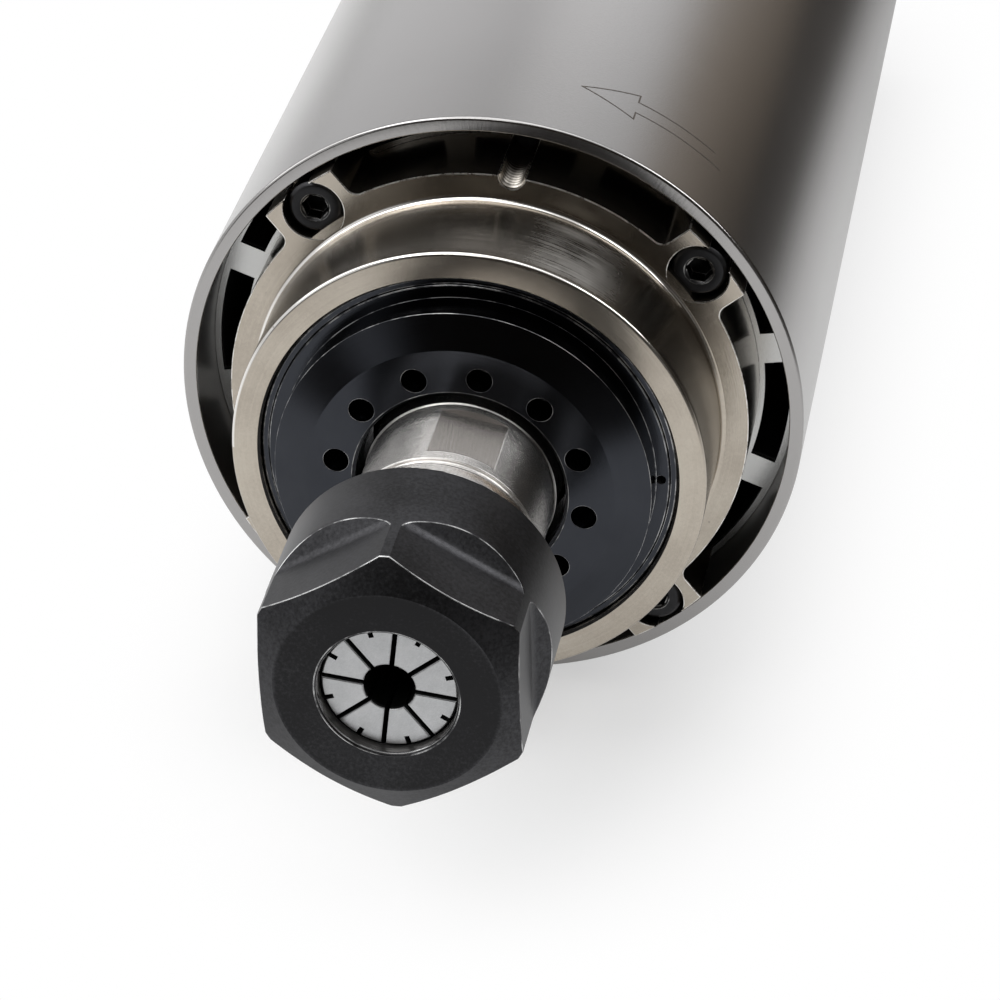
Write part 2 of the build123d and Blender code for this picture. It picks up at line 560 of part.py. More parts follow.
def collet():
    """The spring collet, slit by turns from its face and from its tail."""
    body = turned([
        (COLLET_BORE_R, COLLET_FACE_Y), (COLLET_FACE_R, COLLET_FACE_Y), (COLLET_R, COLLET_CONE_END_Y),
        (COLLET_R, COLLET_GROOVE_Y), (COLLET_GROOVE_R, COLLET_GROOVE_Y), (COLLET_GROOVE_R, COLLET_TAPER_Y),
        (COLLET_TAPER_R, COLLET_TAPER_Y), (collet_taper_r(COLLET_REAR_Y), COLLET_REAR_Y),
        (COLLET_BORE_R, COLLET_REAR_Y),
    ])
    slit = spoke(COLLET_SLOT_WIDTH, 0, COLLET_R + CUT)
    notch = spoke(COLLET_SLOT_WIDTH, COLLET_FACE_R - COLLET_NOTCH_DEPTH, COLLET_R + CUT)
    pitch = 360 / COLLET_SLOT_COUNT
    face_slit = prism(slit, COLLET_FACE_Y - CUT, COLLET_REAR_Y - COLLET_SLOT_END)
    tail_slit = prism(slit, COLLET_FACE_Y + COLLET_SLOT_END, COLLET_REAR_Y + CUT)
    tail_slit += prism(notch, COLLET_FACE_Y - CUT, COLLET_REAR_Y)
    body -= around(face_slit, COLLET_SLOT_COUNT, COLLET_SLOT_ANGLE)
    return body - around(tail_slit, COLLET_SLOT_COUNT, COLLET_SLOT_ANGLE + pitch / 2)


def collet_nut():
    """The nut that draws the collet in: a hexagon in front, a round collar behind."""
    cone_foot_y = NUT_FRONT_Y + NUT_CONE_HEIGHT
    nut = turned([
        (0, NUT_FRONT_Y), (NUT_FACE_R, NUT_FRONT_Y), (NUT_R, cone_foot_y),
        (NUT_R, NUT_REAR_Y - NUT_REAR_CHAMFER), (NUT_R - NUT_REAR_CHAMFER, NUT_REAR_Y), (0, NUT_REAR_Y),
    ])
    flat_end_y = NUT_FRONT_Y + NUT_FLAT_LENGTH
    run_out = 2 * NUT_FLAT_DEPTH
    side = make_face(Polyline(
        (NUT_FLAT_R, NUT_FRONT_Y - CUT), (NUT_FLAT_R, flat_end_y), (NUT_FLAT_R + run_out, flat_end_y + run_out),
        (NUT_FLAT_R + run_out, NUT_FRONT_Y - CUT), close=True,
    ))
    nut -= around(extrude(side, amount=NUT_R, both=True), 6, NUT_FLAT_ANGLE)
    cone_r = COLLET_R + 2 * RUNNING_FIT
    lead_y = COLLET_CONE_END_Y - (cone_r - NUT_OPENING_R) / tan(radians(COLLET_CONE_ANGLE))
    chamber_y = NUT_WEB_Y + NUT_WEB
    nut -= turned([
        (0, NUT_FRONT_Y - CUT), (NUT_OPENING_R + NUT_MOUTH_CHAMFER + CUT, NUT_FRONT_Y - CUT),
        (NUT_OPENING_R, NUT_FRONT_Y + NUT_MOUTH_CHAMFER), (NUT_OPENING_R, lead_y),
        (cone_r, COLLET_CONE_END_Y), (cone_r, NUT_WEB_Y), (0, NUT_WEB_Y),
    ])
    nut -= Pos(NUT_WEB_OFFSET, 0, 0) * rod(NUT_WEB_HOLE_R, NUT_WEB_Y - SEAT_FIT, chamber_y + SEAT_FIT)
    thread_r = NOSE_THREAD_R + RUNNING_FIT
    return nut - turned([
        (0, chamber_y), (thread_r, chamber_y), (thread_r, NUT_REAR_Y - NOSE_THREAD_CHAMFER),
        (thread_r + NOSE_THREAD_CHAMFER + CUT, NUT_REAR_Y + CUT), (0, NUT_REAR_Y + CUT),
    ])


def stator_core():
    """The stack of laminations, with slots open to the bore."""
    outline = Circle(STATOR_R) - Circle(STATOR_BORE_R)
    outline -= fan_out(spoke(STATOR_SLOT_WIDTH, STATOR_BORE_R - CUT, SLOT_BOTTOM_R), STATOR_SLOT_COUNT, 0)
    return prism(outline, STATOR_FRONT_Y, STATOR_REAR_Y)


def stator_winding():
    """The wound slots, joined by the end turns at both ends of the core."""
    bar = spoke(STATOR_SLOT_WIDTH - 2 * SLOT_FIT, WINDING_INNER_R, WINDING_OUTER_R)
    front = end_turn(STATOR_FRONT_Y - SLOT_FIT, -1)
    rear = end_turn(STATOR_REAR_Y + SLOT_FIT, 1)
    bars = prism(Sketch() + fan_out(bar, STATOR_SLOT_COUNT, 0), STATOR_FRONT_Y - CUT, STATOR_REAR_Y + CUT)
    return front + rear + bars


def end_turn(near_y, side):
    """A rounded ring of end turns, beside the core at near_y."""
    far_y = near_y + side * END_TURN_LENGTH
    mid_y = (near_y + far_y) / 2
    top_r = WINDING_OUTER_R + END_TURN_BULGE
    corner = (WINDING_OUTER_R - WINDING_INNER_R) * END_TURN_CORNER_SHARE
    return turned([
        (WINDING_INNER_R, near_y), (WINDING_OUTER_R, near_y), (top_r, near_y + side * corner),
        (top_r, far_y - side * corner), (WINDING_OUTER_R, far_y), (WINDING_INNER_R + corner, far_y),
        (WINDING_INNER_R, far_y - side * corner), (WINDING_INNER_R, mid_y),
    ])


def rotor_bar_outline(gap):
    """The rotor's bars as outlines, each made smaller by a gap."""
    bar = spoke(ROTOR_BAR_WIDTH - 2 * gap, ROTOR_BAR_INNER_R + gap, ROTOR_BAR_OUTER_R - gap)
    return fan_out(bar, ROTOR_BAR_COUNT, 0)


def rotor_core():
    """The rotor's laminations, pressed on the shaft."""
    outline = Circle(ROTOR_R) - Circle(ROTOR_SEAT_R + SEAT_FIT / 2)
    outline -= rotor_bar_outline(0)
    return prism(outline, STATOR_FRONT_Y, STATOR_REAR_Y)


def rotor_cage():
    """The cast cage: bars through the laminations and a ring at each end."""
    bars = prism(Sketch() + rotor_bar_outline(SEAT_FIT), STATOR_FRONT_Y - CUT, STATOR_REAR_Y + CUT)
    inner_r = ROTOR_BAR_INNER_R - CUT
    front_ring = ring(ROTOR_BAR_OUTER_R, inner_r, STATOR_FRONT_Y - ROTOR_RING_LENGTH, STATOR_FRONT_Y)
    return bars + front_ring + ring(ROTOR_BAR_OUTER_R, inner_r, STATOR_REAR_Y, STATOR_REAR_Y + ROTOR_RING_LENGTH)


def rear_housing():
    """The rear bearing's housing, lobed like the front so that the air passes around it."""
    body = lobed_disc(HOUSING_LENGTH, REAR_FACE_Y) + rod(SPIGOT_R, REAR_SPIGOT_Y, HOUSING_LENGTH + CUT)
    pocket_r = REAR_BEARING_OUTER_R + SEAT_FIT
    hub_r = pocket_r + REAR_HUB_WALL
    hollow_r = SPIGOT_R - REAR_SPIGOT_WALL
    hollow_y = REAR_FACE_Y - REAR_PLATE_THICKNESS
    hub_y = REAR_SPIGOT_Y + REAR_HUB_RECESS
    seat_end_y = REAR_BEARING_END_Y + SPRING_SPACE
    body -= turned([
        (0, REAR_SPIGOT_Y - CUT), (hollow_r, REAR_SPIGOT_Y - CUT), (hollow_r, hollow_y), (hub_r, hollow_y),
        (hub_r, hub_y), (pocket_r, hub_y), (pocket_r, seat_end_y),
        (pocket_r - REAR_HUB_LIP, seat_end_y), (pocket_r - REAR_HUB_LIP, REAR_FACE_Y + CUT), (0, REAR_FACE_Y + CUT),
    ])
    body -= screw_holes(REAR_FACE_Y - SCREW_HEAD_SINK, REAR_FACE_Y, HOUSING_LENGTH)
    room = 2 * (LEAD_R + LEAD_SLOT_GAP)
    lead_slot = Pos(LEAD_START_R, 0) * Rot(0, 0, 90) * SlotOverall(2 * CONNECTOR_PIN_CIRCLE_R + room, room)
    return body - turn(prism(lead_slot, hollow_y - CUT, REAR_FACE_Y + CUT), LEAD_ANGLE)


def rear_screws():
    """Four cap screws that hold the rear bearing housing."""
    screw = off_axis(cap_screw(REAR_FACE_Y - SCREW_HEAD_SINK + SCREW_HEAD_HEIGHT, -1), SCREW_CIRCLE_R)
    return around(screw, LOBE_COUNT, LOBE_ANGLE)


def wave_spring():
    """The spring washer that preloads the rear bearing's outer ring."""
    outer_r = REAR_BEARING_OUTER_R - BALL_GAP
    rear_y = REAR_BEARING_END_Y + SPRING_SPACE - SPRING_GAP
    return ring(outer_r, outer_r - SPRING_WIDTH, REAR_BEARING_END_Y + SPRING_GAP, rear_y)


def fan():
    """The cooling fan: cambered blades on a hub that is screwed to the shaft's end."""
    bore_r = FAN_SEAT_R + SEAT_FIT
    hub = turned([
        (bore_r, FAN_FRONT_Y), (FAN_HUB_R - FAN_HUB_CORNER / 2, FAN_FRONT_Y),
        (FAN_HUB_R, FAN_FRONT_Y + FAN_HUB_CORNER / 2), (FAN_HUB_R, FAN_REAR_Y - FAN_HUB_CORNER),
        (FAN_HUB_R - FAN_HUB_CORNER, FAN_REAR_Y), (bore_r, FAN_REAR_Y),
    ])
    half = degrees(asin(FAN_CHORD / 2 / FAN_CAMBER_R))
    middle = (0, -FAN_CAMBER_R)
    outer = CenterArc(middle, FAN_CAMBER_R + FAN_BLADE_THICKNESS / 2, 90 - half, 2 * half)
    inner = CenterArc(middle, FAN_CAMBER_R - FAN_BLADE_THICKNESS / 2, 90 - half, 2 * half)
    section = make_face([outer, inner, Line(outer @ 0, inner @ 0), Line(outer @ 1, inner @ 1)])
    root_y = FAN_FRONT_Y + FAN_HUB_LENGTH / 2
    root = Plane(origin=(FAN_HUB_R - CUT, root_y, 0), x_dir=(0, 1, 0), z_dir=(1, 0, 0))
    blade = extrude(root * Rot(0, 0, FAN_BLADE_PITCH) * section, amount=FAN_R)
    blade &= rod(FAN_R, root_y - FAN_CHORD, root_y + FAN_CHORD)
    return hub + around(blade, FAN_BLADE_COUNT, 0)


def fan_washer():
    """The washer under the fan's screw."""
    return ring(WASHER_R, FAN_SCREW_R + WASHER_FIT, FAN_REAR_Y, FAN_REAR_Y + WASHER_THICKNESS)


def fan_screw():
    """The screw in the shaft's end that clamps the fan."""
    under = FAN_REAR_Y + WASHER_THICKNESS
    head = rod(FAN_SCREW_HEAD_R, under, FAN_SCREW_TOP_Y)
    hexagon = RegularPolygon(FAN_SCREW_SOCKET_ACROSS / 2, 6, major_radius=False)
    socket = prism(hexagon, FAN_SCREW_TOP_Y - FAN_SCREW_SOCKET_DEPTH, FAN_SCREW_TOP_Y + CUT)
    return head + rod(FAN_SCREW_R, under - FAN_SCREW_LENGTH, under) - socket


def cover_screw_shapes(extra):
    """Countersunk screws through the tube into the rear cover's skirt, grown by a fit."""
    head_r = COVER_SCREW_HEAD_R + extra
    shank_r = COVER_SCREW_R + extra
    top = TUBE_R - COVER_SCREW_SINK
    tip = COVER_SKIRT_INNER_R + COVER_SCREW_SINK
    profile = make_face(Polyline(
        (0, tip - extra), (shank_r, tip - extra), (shank_r, top - (head_r - shank_r)),
        (head_r, top), (0, top), close=True,
    ))
    screw = Pos(0, COVER_SCREW_Y, 0) * Rot(0, 0, -90) * revolve(profile, Axis.Y)
    if extra:
        screw += Pos(TUBE_R, COVER_SCREW_Y, 0) * Rot(0, 90, 0) * Cylinder(head_r, 2 * CUT)
    return around(screw, COVER_SCREW_COUNT, LOBE_ANGLE)


def cover_screws():
    """The rear cover's four countersunk screws, with their driver sockets."""
    hexagon = RegularPolygon(COVER_SCREW_SOCKET_ACROSS / 2, 6, major_radius=False)
    depth = COVER_SCREW_SINK + COVER_SCREW_SOCKET_DEPTH
    socket = Pos(TUBE_R, COVER_SCREW_Y, 0) * Rot(0, 90, 0) * extrude(hexagon, amount=depth, both=True)
    sockets = around(socket, COVER_SCREW_COUNT, LOBE_ANGLE)
    return [screw - hole for screw, hole in zip(cover_screw_shapes(0), sockets)]


def rear_cover():
    """The end cover: a skirt inside the tube, air windows around a solid hub."""
    skirt_y = TUBE_REAR_Y - COVER_SKIRT_LENGTH
    cover = turned([
        (0, TUBE_REAR_Y), (COVER_SKIRT_INNER_R, TUBE_REAR_Y), (COVER_SKIRT_INNER_R, skirt_y),
        (COVER_SKIRT_R, skirt_y), (COVER_SKIRT_R, TUBE_REAR_Y), (TUBE_R, TUBE_REAR_Y),
        (TUBE_R, COVER_REAR_Y - COVER_EDGE), (TUBE_R - COVER_EDGE, COVER_REAR_Y), (0, COVER_REAR_Y),
    ])
    window = SlotOverall(WINDOW_OUTER_R - WINDOW_INNER_R, WINDOW_WIDTH)
    window = Pos((WINDOW_INNER_R + WINDOW_OUTER_R) / 2, 0) * window
    cover -= prism(Sketch() + fan_out(window, WINDOW_COUNT, 0), TUBE_REAR_Y - CUT, COVER_REAR_Y + CUT)
    cover -= rod(CONNECTOR_BODY_R + SEAT_FIT, TUBE_REAR_Y - CUT, COVER_REAR_Y + CUT)
    return cover - cover_screw_shapes(SEAT_FIT)


def connector_shell():
    """The panel connector's threaded shell, open to the rear."""
    flange_end_y = COVER_REAR_Y + CONNECTOR_FLANGE_THICKNESS
    shell = turned([
        (0, CONNECTOR_FRONT_Y), (CONNECTOR_BODY_R, CONNECTOR_FRONT_Y), (CONNECTOR_BODY_R, COVER_REAR_Y),
        (CONNECTOR_FLANGE_R, COVER_REAR_Y), (CONNECTOR_FLANGE_R, flange_end_y),
        (CONNECTOR_BODY_R, flange_end_y), (CONNECTOR_BODY_R, CONNECTOR_MOUTH_Y), (0, CONNECTOR_MOUTH_Y),
    ])
    return shell - rod(CONNECTOR_BODY_R - CONNECTOR_WALL, CONNECTOR_FRONT_Y - CUT, CONNECTOR_MOUTH_Y + CUT)


def connector_insert():
    """The moulded insert that carries the pins."""
    insert = rod(CONNECTOR_BODY_R - CONNECTOR_WALL - SEAT_FIT, INSERT_BACK_Y, INSERT_FACE_Y)
    hole = rod(CONNECTOR_PIN_R + PIN_FIT, INSERT_BACK_Y - CUT, INSERT_FACE_Y + CUT)
    hole = off_axis(hole, CONNECTOR_PIN_CIRCLE_R)
    return insert - around(hole, CONNECTOR_PIN_COUNT, LEAD_ANGLE + LEAD_PIN_ANGLE)


def connector_pins():
    """The contact pins, with their solder tails."""
    tip_y = INSERT_FACE_Y + CONNECTOR_PIN_LENGTH
    pin = turned([
        (0, PIN_TAIL_Y), (CONNECTOR_PIN_R, PIN_TAIL_Y), (CONNECTOR_PIN_R, tip_y - CONNECTOR_PIN_CHAMFER),
        (CONNECTOR_PIN_R - CONNECTOR_PIN_CHAMFER, tip_y), (0, tip_y),
    ])
    return around(off_axis(pin, CONNECTOR_PIN_CIRCLE_R), CONNECTOR_PIN_COUNT, LEAD_ANGLE + LEAD_PIN_ANGLE)


def connector_nut():
    """The hexagon nut that holds the connector from inside the cover."""
    outline = RegularPolygon(CONNECTOR_NUT_ACROSS / 2, 6, major_radius=False) - Circle(CONNECTOR_BODY_R + SEAT_FIT)
    return prism(outline, TUBE_REAR_Y - CONNECTOR_NUT_LENGTH, TUBE_REAR_Y)


def motor_leads():
    """Insulated leads: out of the windings, along the tube's wall past the fan, in to the pins."""
    leads = []
    bend_r = (LEAD_WALL_R - LEAD_START_R) * LEAD_BEND_SHARE
    for i in range(CONNECTOR_PIN_COUNT):
        pin_angle = radians(LEAD_PIN_ANGLE + 360 / CONNECTOR_PIN_COUNT * i)
        pin_x = CONNECTOR_PIN_CIRCLE_R * cos(pin_angle)
        side = CONNECTOR_PIN_CIRCLE_R * sin(pin_angle)
        turn_y = LEAD_TURN_Y - LEAD_STAGGER * pin_x
        path = FilletPolyline(
            (LEAD_START_R, END_TURN_REAR_Y, side), (LEAD_START_R, LEAD_OUT_Y, side),
            (LEAD_WALL_R, LEAD_OUT_Y, side), (LEAD_WALL_R, turn_y, side),
            (pin_x, turn_y, side), (pin_x, PIN_TAIL_Y, side), radius=bend_r,
        )
        leads.append(turn(sweep(Plane(origin=path @ 0, z_dir=path % 0) * Circle(LEAD_R), path=path), LEAD_ANGLE))
    return leads


def model():
    """Every node by name, each a list of solids."""
    nodes = {
        "outer_tube": outer_tube(),
        "finned_housing": finned_housing(),
        "front_housing": front_housing(),
        "front_housing_screws": front_screws(),
        "retaining_nut": retaining_nut(),
        "spindle_shaft": spindle_shaft(),
        "collet": collet(),
        "collet_nut": collet_nut(),
        "stator_core": stator_core(),
        "stator_winding": stator_winding(),
        "rotor_core": rotor_core(),
        "rotor_cage": rotor_cage(),
        "rear_housing": rear_housing(),
        "rear_housing_screws": rear_screws(),
        "wave_spring": wave_spring(),
        "fan": fan(),
        "fan_washer": fan_washer(),
        "fan_screw": fan_screw(),
        "rear_cover": rear_cover(),
        "rear_cover_screws": cover_screws(),
        "connector_shell": connector_shell(),
        "connector_insert": connector_insert(),
        "connector_pins": connector_pins(),
        "connector_nut": connector_nut(),
        "motor_leads": motor_leads(),
    }
    front_sizes = (FRONT_BEARING_BORE_R, FRONT_BEARING_OUTER_R, FRONT_BEARING_WIDTH)
    bearings = {
        "front_bearing_a": (*front_sizes, FRONT_BEARING_YS[0], FRONT_BALL_COUNT),
        "front_bearing_b": (*front_sizes, FRONT_BEARING_YS[1], FRONT_BALL_COUNT),
        "rear_bearing": (REAR_BEARING_BORE_R, REAR_BEARING_OUTER_R, REAR_BEARING_WIDTH,
                         REAR_BEARING_FRONT_Y, REAR_BALL_COUNT),
    }
    for name, sizes in bearings.items():
        for piece, shape in zip(("outer_ring", "inner_ring", "balls", "cage"), bearing(*sizes)):
            nodes[f"{name}_{piece}"] = shape
    return nodes


os.makedirs("parts", exist_ok=True)
for node, shape in model().items():
    solids = shape if isinstance(shape, list) else shape.solids()
    solids = [solid for item in solids for solid in item.solids()]
    export_step(Compound(children=solids) if len(solids) > 1 else solids[0], f"parts/{node}.step")
    print(node, len(solids))
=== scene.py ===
from math import asin, atan2, cos, degrees, pi, radians, sin, sqrt

import bmesh
import bpy
from mathutils import Matrix, Vector


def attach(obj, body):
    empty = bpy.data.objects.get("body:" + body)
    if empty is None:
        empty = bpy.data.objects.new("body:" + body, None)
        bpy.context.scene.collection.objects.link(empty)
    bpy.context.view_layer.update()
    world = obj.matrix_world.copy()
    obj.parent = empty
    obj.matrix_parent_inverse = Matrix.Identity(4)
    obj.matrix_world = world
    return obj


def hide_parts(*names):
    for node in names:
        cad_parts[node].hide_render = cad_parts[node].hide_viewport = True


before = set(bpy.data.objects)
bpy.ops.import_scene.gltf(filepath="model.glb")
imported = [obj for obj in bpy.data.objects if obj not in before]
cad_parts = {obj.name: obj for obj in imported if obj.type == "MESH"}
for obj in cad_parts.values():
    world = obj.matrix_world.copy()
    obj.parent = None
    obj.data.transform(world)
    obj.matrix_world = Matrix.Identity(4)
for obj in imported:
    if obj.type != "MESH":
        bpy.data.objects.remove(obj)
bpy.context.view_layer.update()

MM = 0.001

# Camera. It stands above and to the right of the nose and looks down along the tube,
# as the photograph does, with a long lens and no roll.
CAMERA_PLACE = Vector((73.2, -421.7, 241.3)) * MM
CAMERA_AZIMUTH = radians(9.9)
CAMERA_ELEVATION = radians(31.44)
CAMERA_LENS = 136.75
camera = bpy.data.objects.new("camera", bpy.data.cameras.new("camera"))
bpy.context.scene.collection.objects.link(camera)
camera.data.lens = CAMERA_LENS
camera.data.sensor_width = 36.0
camera.data.clip_start = 0.01
camera.data.clip_end = 60.0
camera.location = CAMERA_PLACE
camera_back = Vector((
    sin(CAMERA_AZIMUTH) * cos(CAMERA_ELEVATION),
    -cos(CAMERA_AZIMUTH) * cos(CAMERA_ELEVATION),
    sin(CAMERA_ELEVATION),
))
camera.rotation_mode = "QUATERNION"
camera.rotation_quaternion = (-camera_back).to_track_quat("-Z", "Y")
bpy.context.scene.camera = camera
bpy.context.scene.view_settings.view_transform = "Standard"


# Studio. A white paper floor in a white room, with a dark flag behind on the right and the dark
# of the camera's own side, which the steel mirrors. Soft boxes light the motor, and the floor
# keeps its shadow.
class Shade:
    """A shader socket that takes part in Python arithmetic."""

    def __init__(self, tree, socket):
        self.tree, self.socket = tree, socket

    def math(self, operation, *others):
        node = self.tree.nodes.new("ShaderNodeMath")
        node.operation = operation
        for slot, value in zip(node.inputs, others):
            if isinstance(value, Shade):
                self.tree.links.new(value.socket, slot)
            else:
                slot.default_value = value
        return Shade(self.tree, node.outputs[0])

    def __add__(self, other):
        return self.math("ADD", self, other)

    def __radd__(self, other):
        return self.math("ADD", other, self)

    def __sub__(self, other):
        return self.math("SUBTRACT", self, other)

    def __rsub__(self, other):
        return self.math("SUBTRACT", other, self)

    def __mul__(self, other):
        return self.math("MULTIPLY", self, other)

    def __rmul__(self, other):
        return self.math("MULTIPLY", other, self)

    def __truediv__(self, other):
        return self.math("DIVIDE", self, other)

    def __pow__(self, other):
        return self.math("POWER", self, other)

    def most(self, other):
        return self.math("MAXIMUM", self, other)

    def least(self, other):
        return self.math("MINIMUM", self, other)

    def clamp(self):
        return self.least(1.0).most(0.0)

    def step(self, start, end):
        """0 before start, 1 after end, smooth between."""
        t = ((self - start) / (end - start)).clamp()
        return t * t * (3.0 - 2.0 * t)

    def band(self, low, high, soft):
        """1 between two values, 0 outside them."""
        return self.step(low - soft, low + soft) * (1.0 - self.step(high - soft, high + soft))


class Finish:
    """A material, with its nodes added by plain calls."""

    def __init__(self, name, world=None):
        self.bumps = None
        if world:
            self.tree = world.node_tree
            self.tree.nodes.clear()
            return
        self.material = bpy.data.materials.new(name)
        self.material.use_nodes = True
        self.tree = self.material.node_tree
        self.tree.nodes.clear()
        self.shader = self.tree.nodes.new("ShaderNodeBsdfPrincipled")
        output = self.tree.nodes.new("ShaderNodeOutputMaterial")
        self.tree.links.new(self.shader.outputs[0], output.inputs[0])

    def feed(self, slot, value):
        if isinstance(value, Shade):
            self.tree.links.new(value.socket, slot)
        elif value is not None:
            slot.default_value = value

    def node(self, kind, settings=None, inputs=None, out=0):
        """A node of any kind; its settings come first, then the values or links of its sockets."""
        node = self.tree.nodes.new(kind)
        for key, value in (settings or {}).items():
            setattr(node, key, value)
        for slot, value in (inputs or {}).items():
            self.feed(node.inputs[slot], value)
        return Shade(self.tree, node.outputs[out])

    def set(self, **sockets):
        for key, value in sockets.items():
            if key == "Base_Color" and isinstance(value, tuple):
                value = (*value, 1.0)
            self.feed(self.shader.inputs[key.replace("_", " ")], value)
        return self

    def mix(self, mask, low, high):
        """One colour to another as the mask goes from 0 to 1."""
        low, high = [(*colour, 1.0) if isinstance(colour, tuple) else colour for colour in (low, high)]
        return self.node("ShaderNodeMix", {"data_type": "RGBA"}, {0: mask, 6: low, 7: high}, out=2)

    def place(self):
        """Object coordinates, whole and as x, y and z in millimetres."""
        coords = self.node("ShaderNodeTexCoord", out=3)
        split = self.node("ShaderNodeSeparateXYZ", inputs={0: coords}).socket.node
        return coords, [Shade(self.tree, socket) / MM for socket in split.outputs]

    def turned_place(self):
        """Radius and place along the spindle axis in millimetres, and the angle in radians."""
        _, (x, y, z) = self.place()
        return (x * x + z * z) ** 0.5, x.math("ARCTAN2", z, x), y

    def vector(self, x, y, z):
        return self.node("ShaderNodeCombineXYZ", inputs={"X": x, "Y": y, "Z": z})

    def noise(self, vector, scale, detail=3.0, roughness=0.5):
        return self.node("ShaderNodeTexNoise", inputs={
            "Vector": vector, "Scale": scale, "Detail": detail, "Roughness": roughness,
        })

    def facing(self, vector, way, inner, outer):
        """1 where a vector points within the inner number of degrees of a way, 0 past the outer one."""
        unit = self.node("ShaderNodeVectorMath", {"operation": "NORMALIZE"}, {0: vector})
        dot = self.node("ShaderNodeVectorMath", {"operation": "DOT_PRODUCT"}, {0: unit, 1: way.normalized()}, out=1)
        return dot.step(cos(radians(outer)), cos(radians(inner)))

    def bump(self, height, strength, distance):
        """Relief on top of the relief that is there already; the distance is in metres."""
        self.bumps = self.node("ShaderNodeBump", inputs={
            "Height": height, "Strength": strength, "Distance": distance, "Normal": self.bumps,
        })
        self.set(Normal=self.bumps)
        return self


def seen_by(finish):
    """1 for rays off a gloss, and 1 for these, rays through glass and the camera's own."""
    path = finish.node("ShaderNodeLightPath").socket.node
    camera_ray, gloss_ray, glass_ray = [
        Shade(finish.tree, path.outputs[name])
        for name in ("Is Camera Ray", "Is Glossy Ray", "Is Transmission Ray")
    ]
    return gloss_ray, camera_ray.most(gloss_ray.most(glass_ray))


TUBE_R = 40.0
BEHIND, BEHIND_RIGHT = Vector((0.02, 0.92, 0.355)), Vector((0.85, 0.50, 0.05))
RIGHT, CAMERA_SIDE = Vector((0.96, -0.15, 0.08)), Vector((0.15, -0.88, 0.40))
STRIP_SPAN, BROWN_SPAN, FLAG_SPAN = (3, 12), (38, 50), (28, 37)
RIGHT_SPAN, CAMERA_SPAN = (25, 42), (32, 46)
FLAG_TOP, GREY_BAND = (0.40, 0.52), (0.46, 0.64, 0.04)
WHITE, WALL_COLOUR, STRIP_COLOUR = (1.0, 1.0, 1.0), (0.42, 0.42, 0.425), (1.15, 1.15, 1.16)
PALE_COLOUR, GREY_COLOUR = (0.86, 0.86, 0.87), (0.40, 0.40, 0.405)
DARK_COLOUR, BROWN_COLOUR = (0.030, 0.025, 0.020), (0.27, 0.225, 0.18)
world = bpy.data.worlds.new("room")
world.use_nodes = True
bpy.context.scene.world = world
room = Finish("room", world)
way = room.node("ShaderNodeTexCoord", out=0)
height = room.node("ShaderNodeSeparateXYZ", inputs={0: way}, out=2)
low = 1.0 - height.step(*FLAG_TOP)
by_gloss, by_any = seen_by(room)
mirrored = room.mix(height.band(*GREY_BAND), PALE_COLOUR, GREY_COLOUR)
mirrored = room.mix(room.facing(way, BEHIND, *STRIP_SPAN), mirrored, STRIP_COLOUR)
mirrored = room.mix(room.facing(way, BEHIND_RIGHT, *BROWN_SPAN) * low, mirrored, BROWN_COLOUR)
mirrored = room.mix(room.facing(way, BEHIND_RIGHT, *FLAG_SPAN) * low, mirrored, DARK_COLOUR)
mirrored = room.mix(room.facing(way, RIGHT, *RIGHT_SPAN) * low, mirrored, DARK_COLOUR)
mirrored = room.mix(room.facing(way, CAMERA_SIDE, *CAMERA_SPAN), mirrored, DARK_COLOUR)
room_colour = room.mix(by_gloss, room.mix(by_any, WALL_COLOUR, WHITE), mirrored)
world_output = room.tree.nodes.new("ShaderNodeOutputWorld")
room.feed(world_output.inputs[0], room.node("ShaderNodeBackground", inputs={0: room_colour}))

FLOOR_SIZE = 8.0
PAPER_COLOUR, PAPER_GLOW, PAPER_DIM = (0.93, 0.93, 0.93), 0.5, 0.3
PAPER_FRONT, PAPER_RIGHT, PAPER_ROUND = (165.0, 235.0), (10.0, 390.0), (200.0, 500.0)
NOSE_ROOM, SHADOW_REACH = 20.0, (20.0, 58.0)
floor_mesh = bpy.data.meshes.new("floor")
bm = bmesh.new()
bmesh.ops.create_grid(bm, x_segments=1, y_segments=1, size=FLOOR_SIZE)
bmesh.ops.translate(bm, vec=(0, 0, -TUBE_R * MM), verts=bm.verts)
bm.to_mesh(floor_mesh)
bm.free()
floor = bpy.data.objects.new("floor", floor_mesh)
bpy.context.scene.collection.objects.link(floor)
paper = Finish("white_paper")
coords, (x, y, _) = paper.place()
by_gloss, by_any = seen_by(paper)
reach = (x * x + y * y) ** 0.5
dark = paper.facing(coords, BEHIND_RIGHT, 45, 70) * reach.step(*PAPER_RIGHT)
dark = dark.most(paper.facing(coords, CAMERA_SIDE, 55, 75) * reach.step(*PAPER_FRONT))
dark = dark.most(reach.step(*PAPER_ROUND) * PAPER_DIM) * by_gloss
paper.set(Base_Color=paper.mix(dark, PAPER_COLOUR, DARK_COLOUR), Roughness=0.9)
ahead = (y + NOSE_ROOM).least(0.0)
away = ((x * x + ahead * ahead) ** 0.5).step(*SHADOW_REACH)
glow = by_any * (away * (1.0 - PAPER_GLOW) + PAPER_GLOW) * (1.0 - dark) * (1.0 - by_gloss * 0.4)
blend = paper.node("ShaderNodeMixShader", inputs={
    0: glow, 1: Shade(paper.tree, paper.shader.outputs[0]), 2: paper.node("ShaderNodeEmission"),
})
paper.feed(paper.tree.nodes["Material Output"].inputs[0], blend)
floor_mesh.materials.append(paper.material)


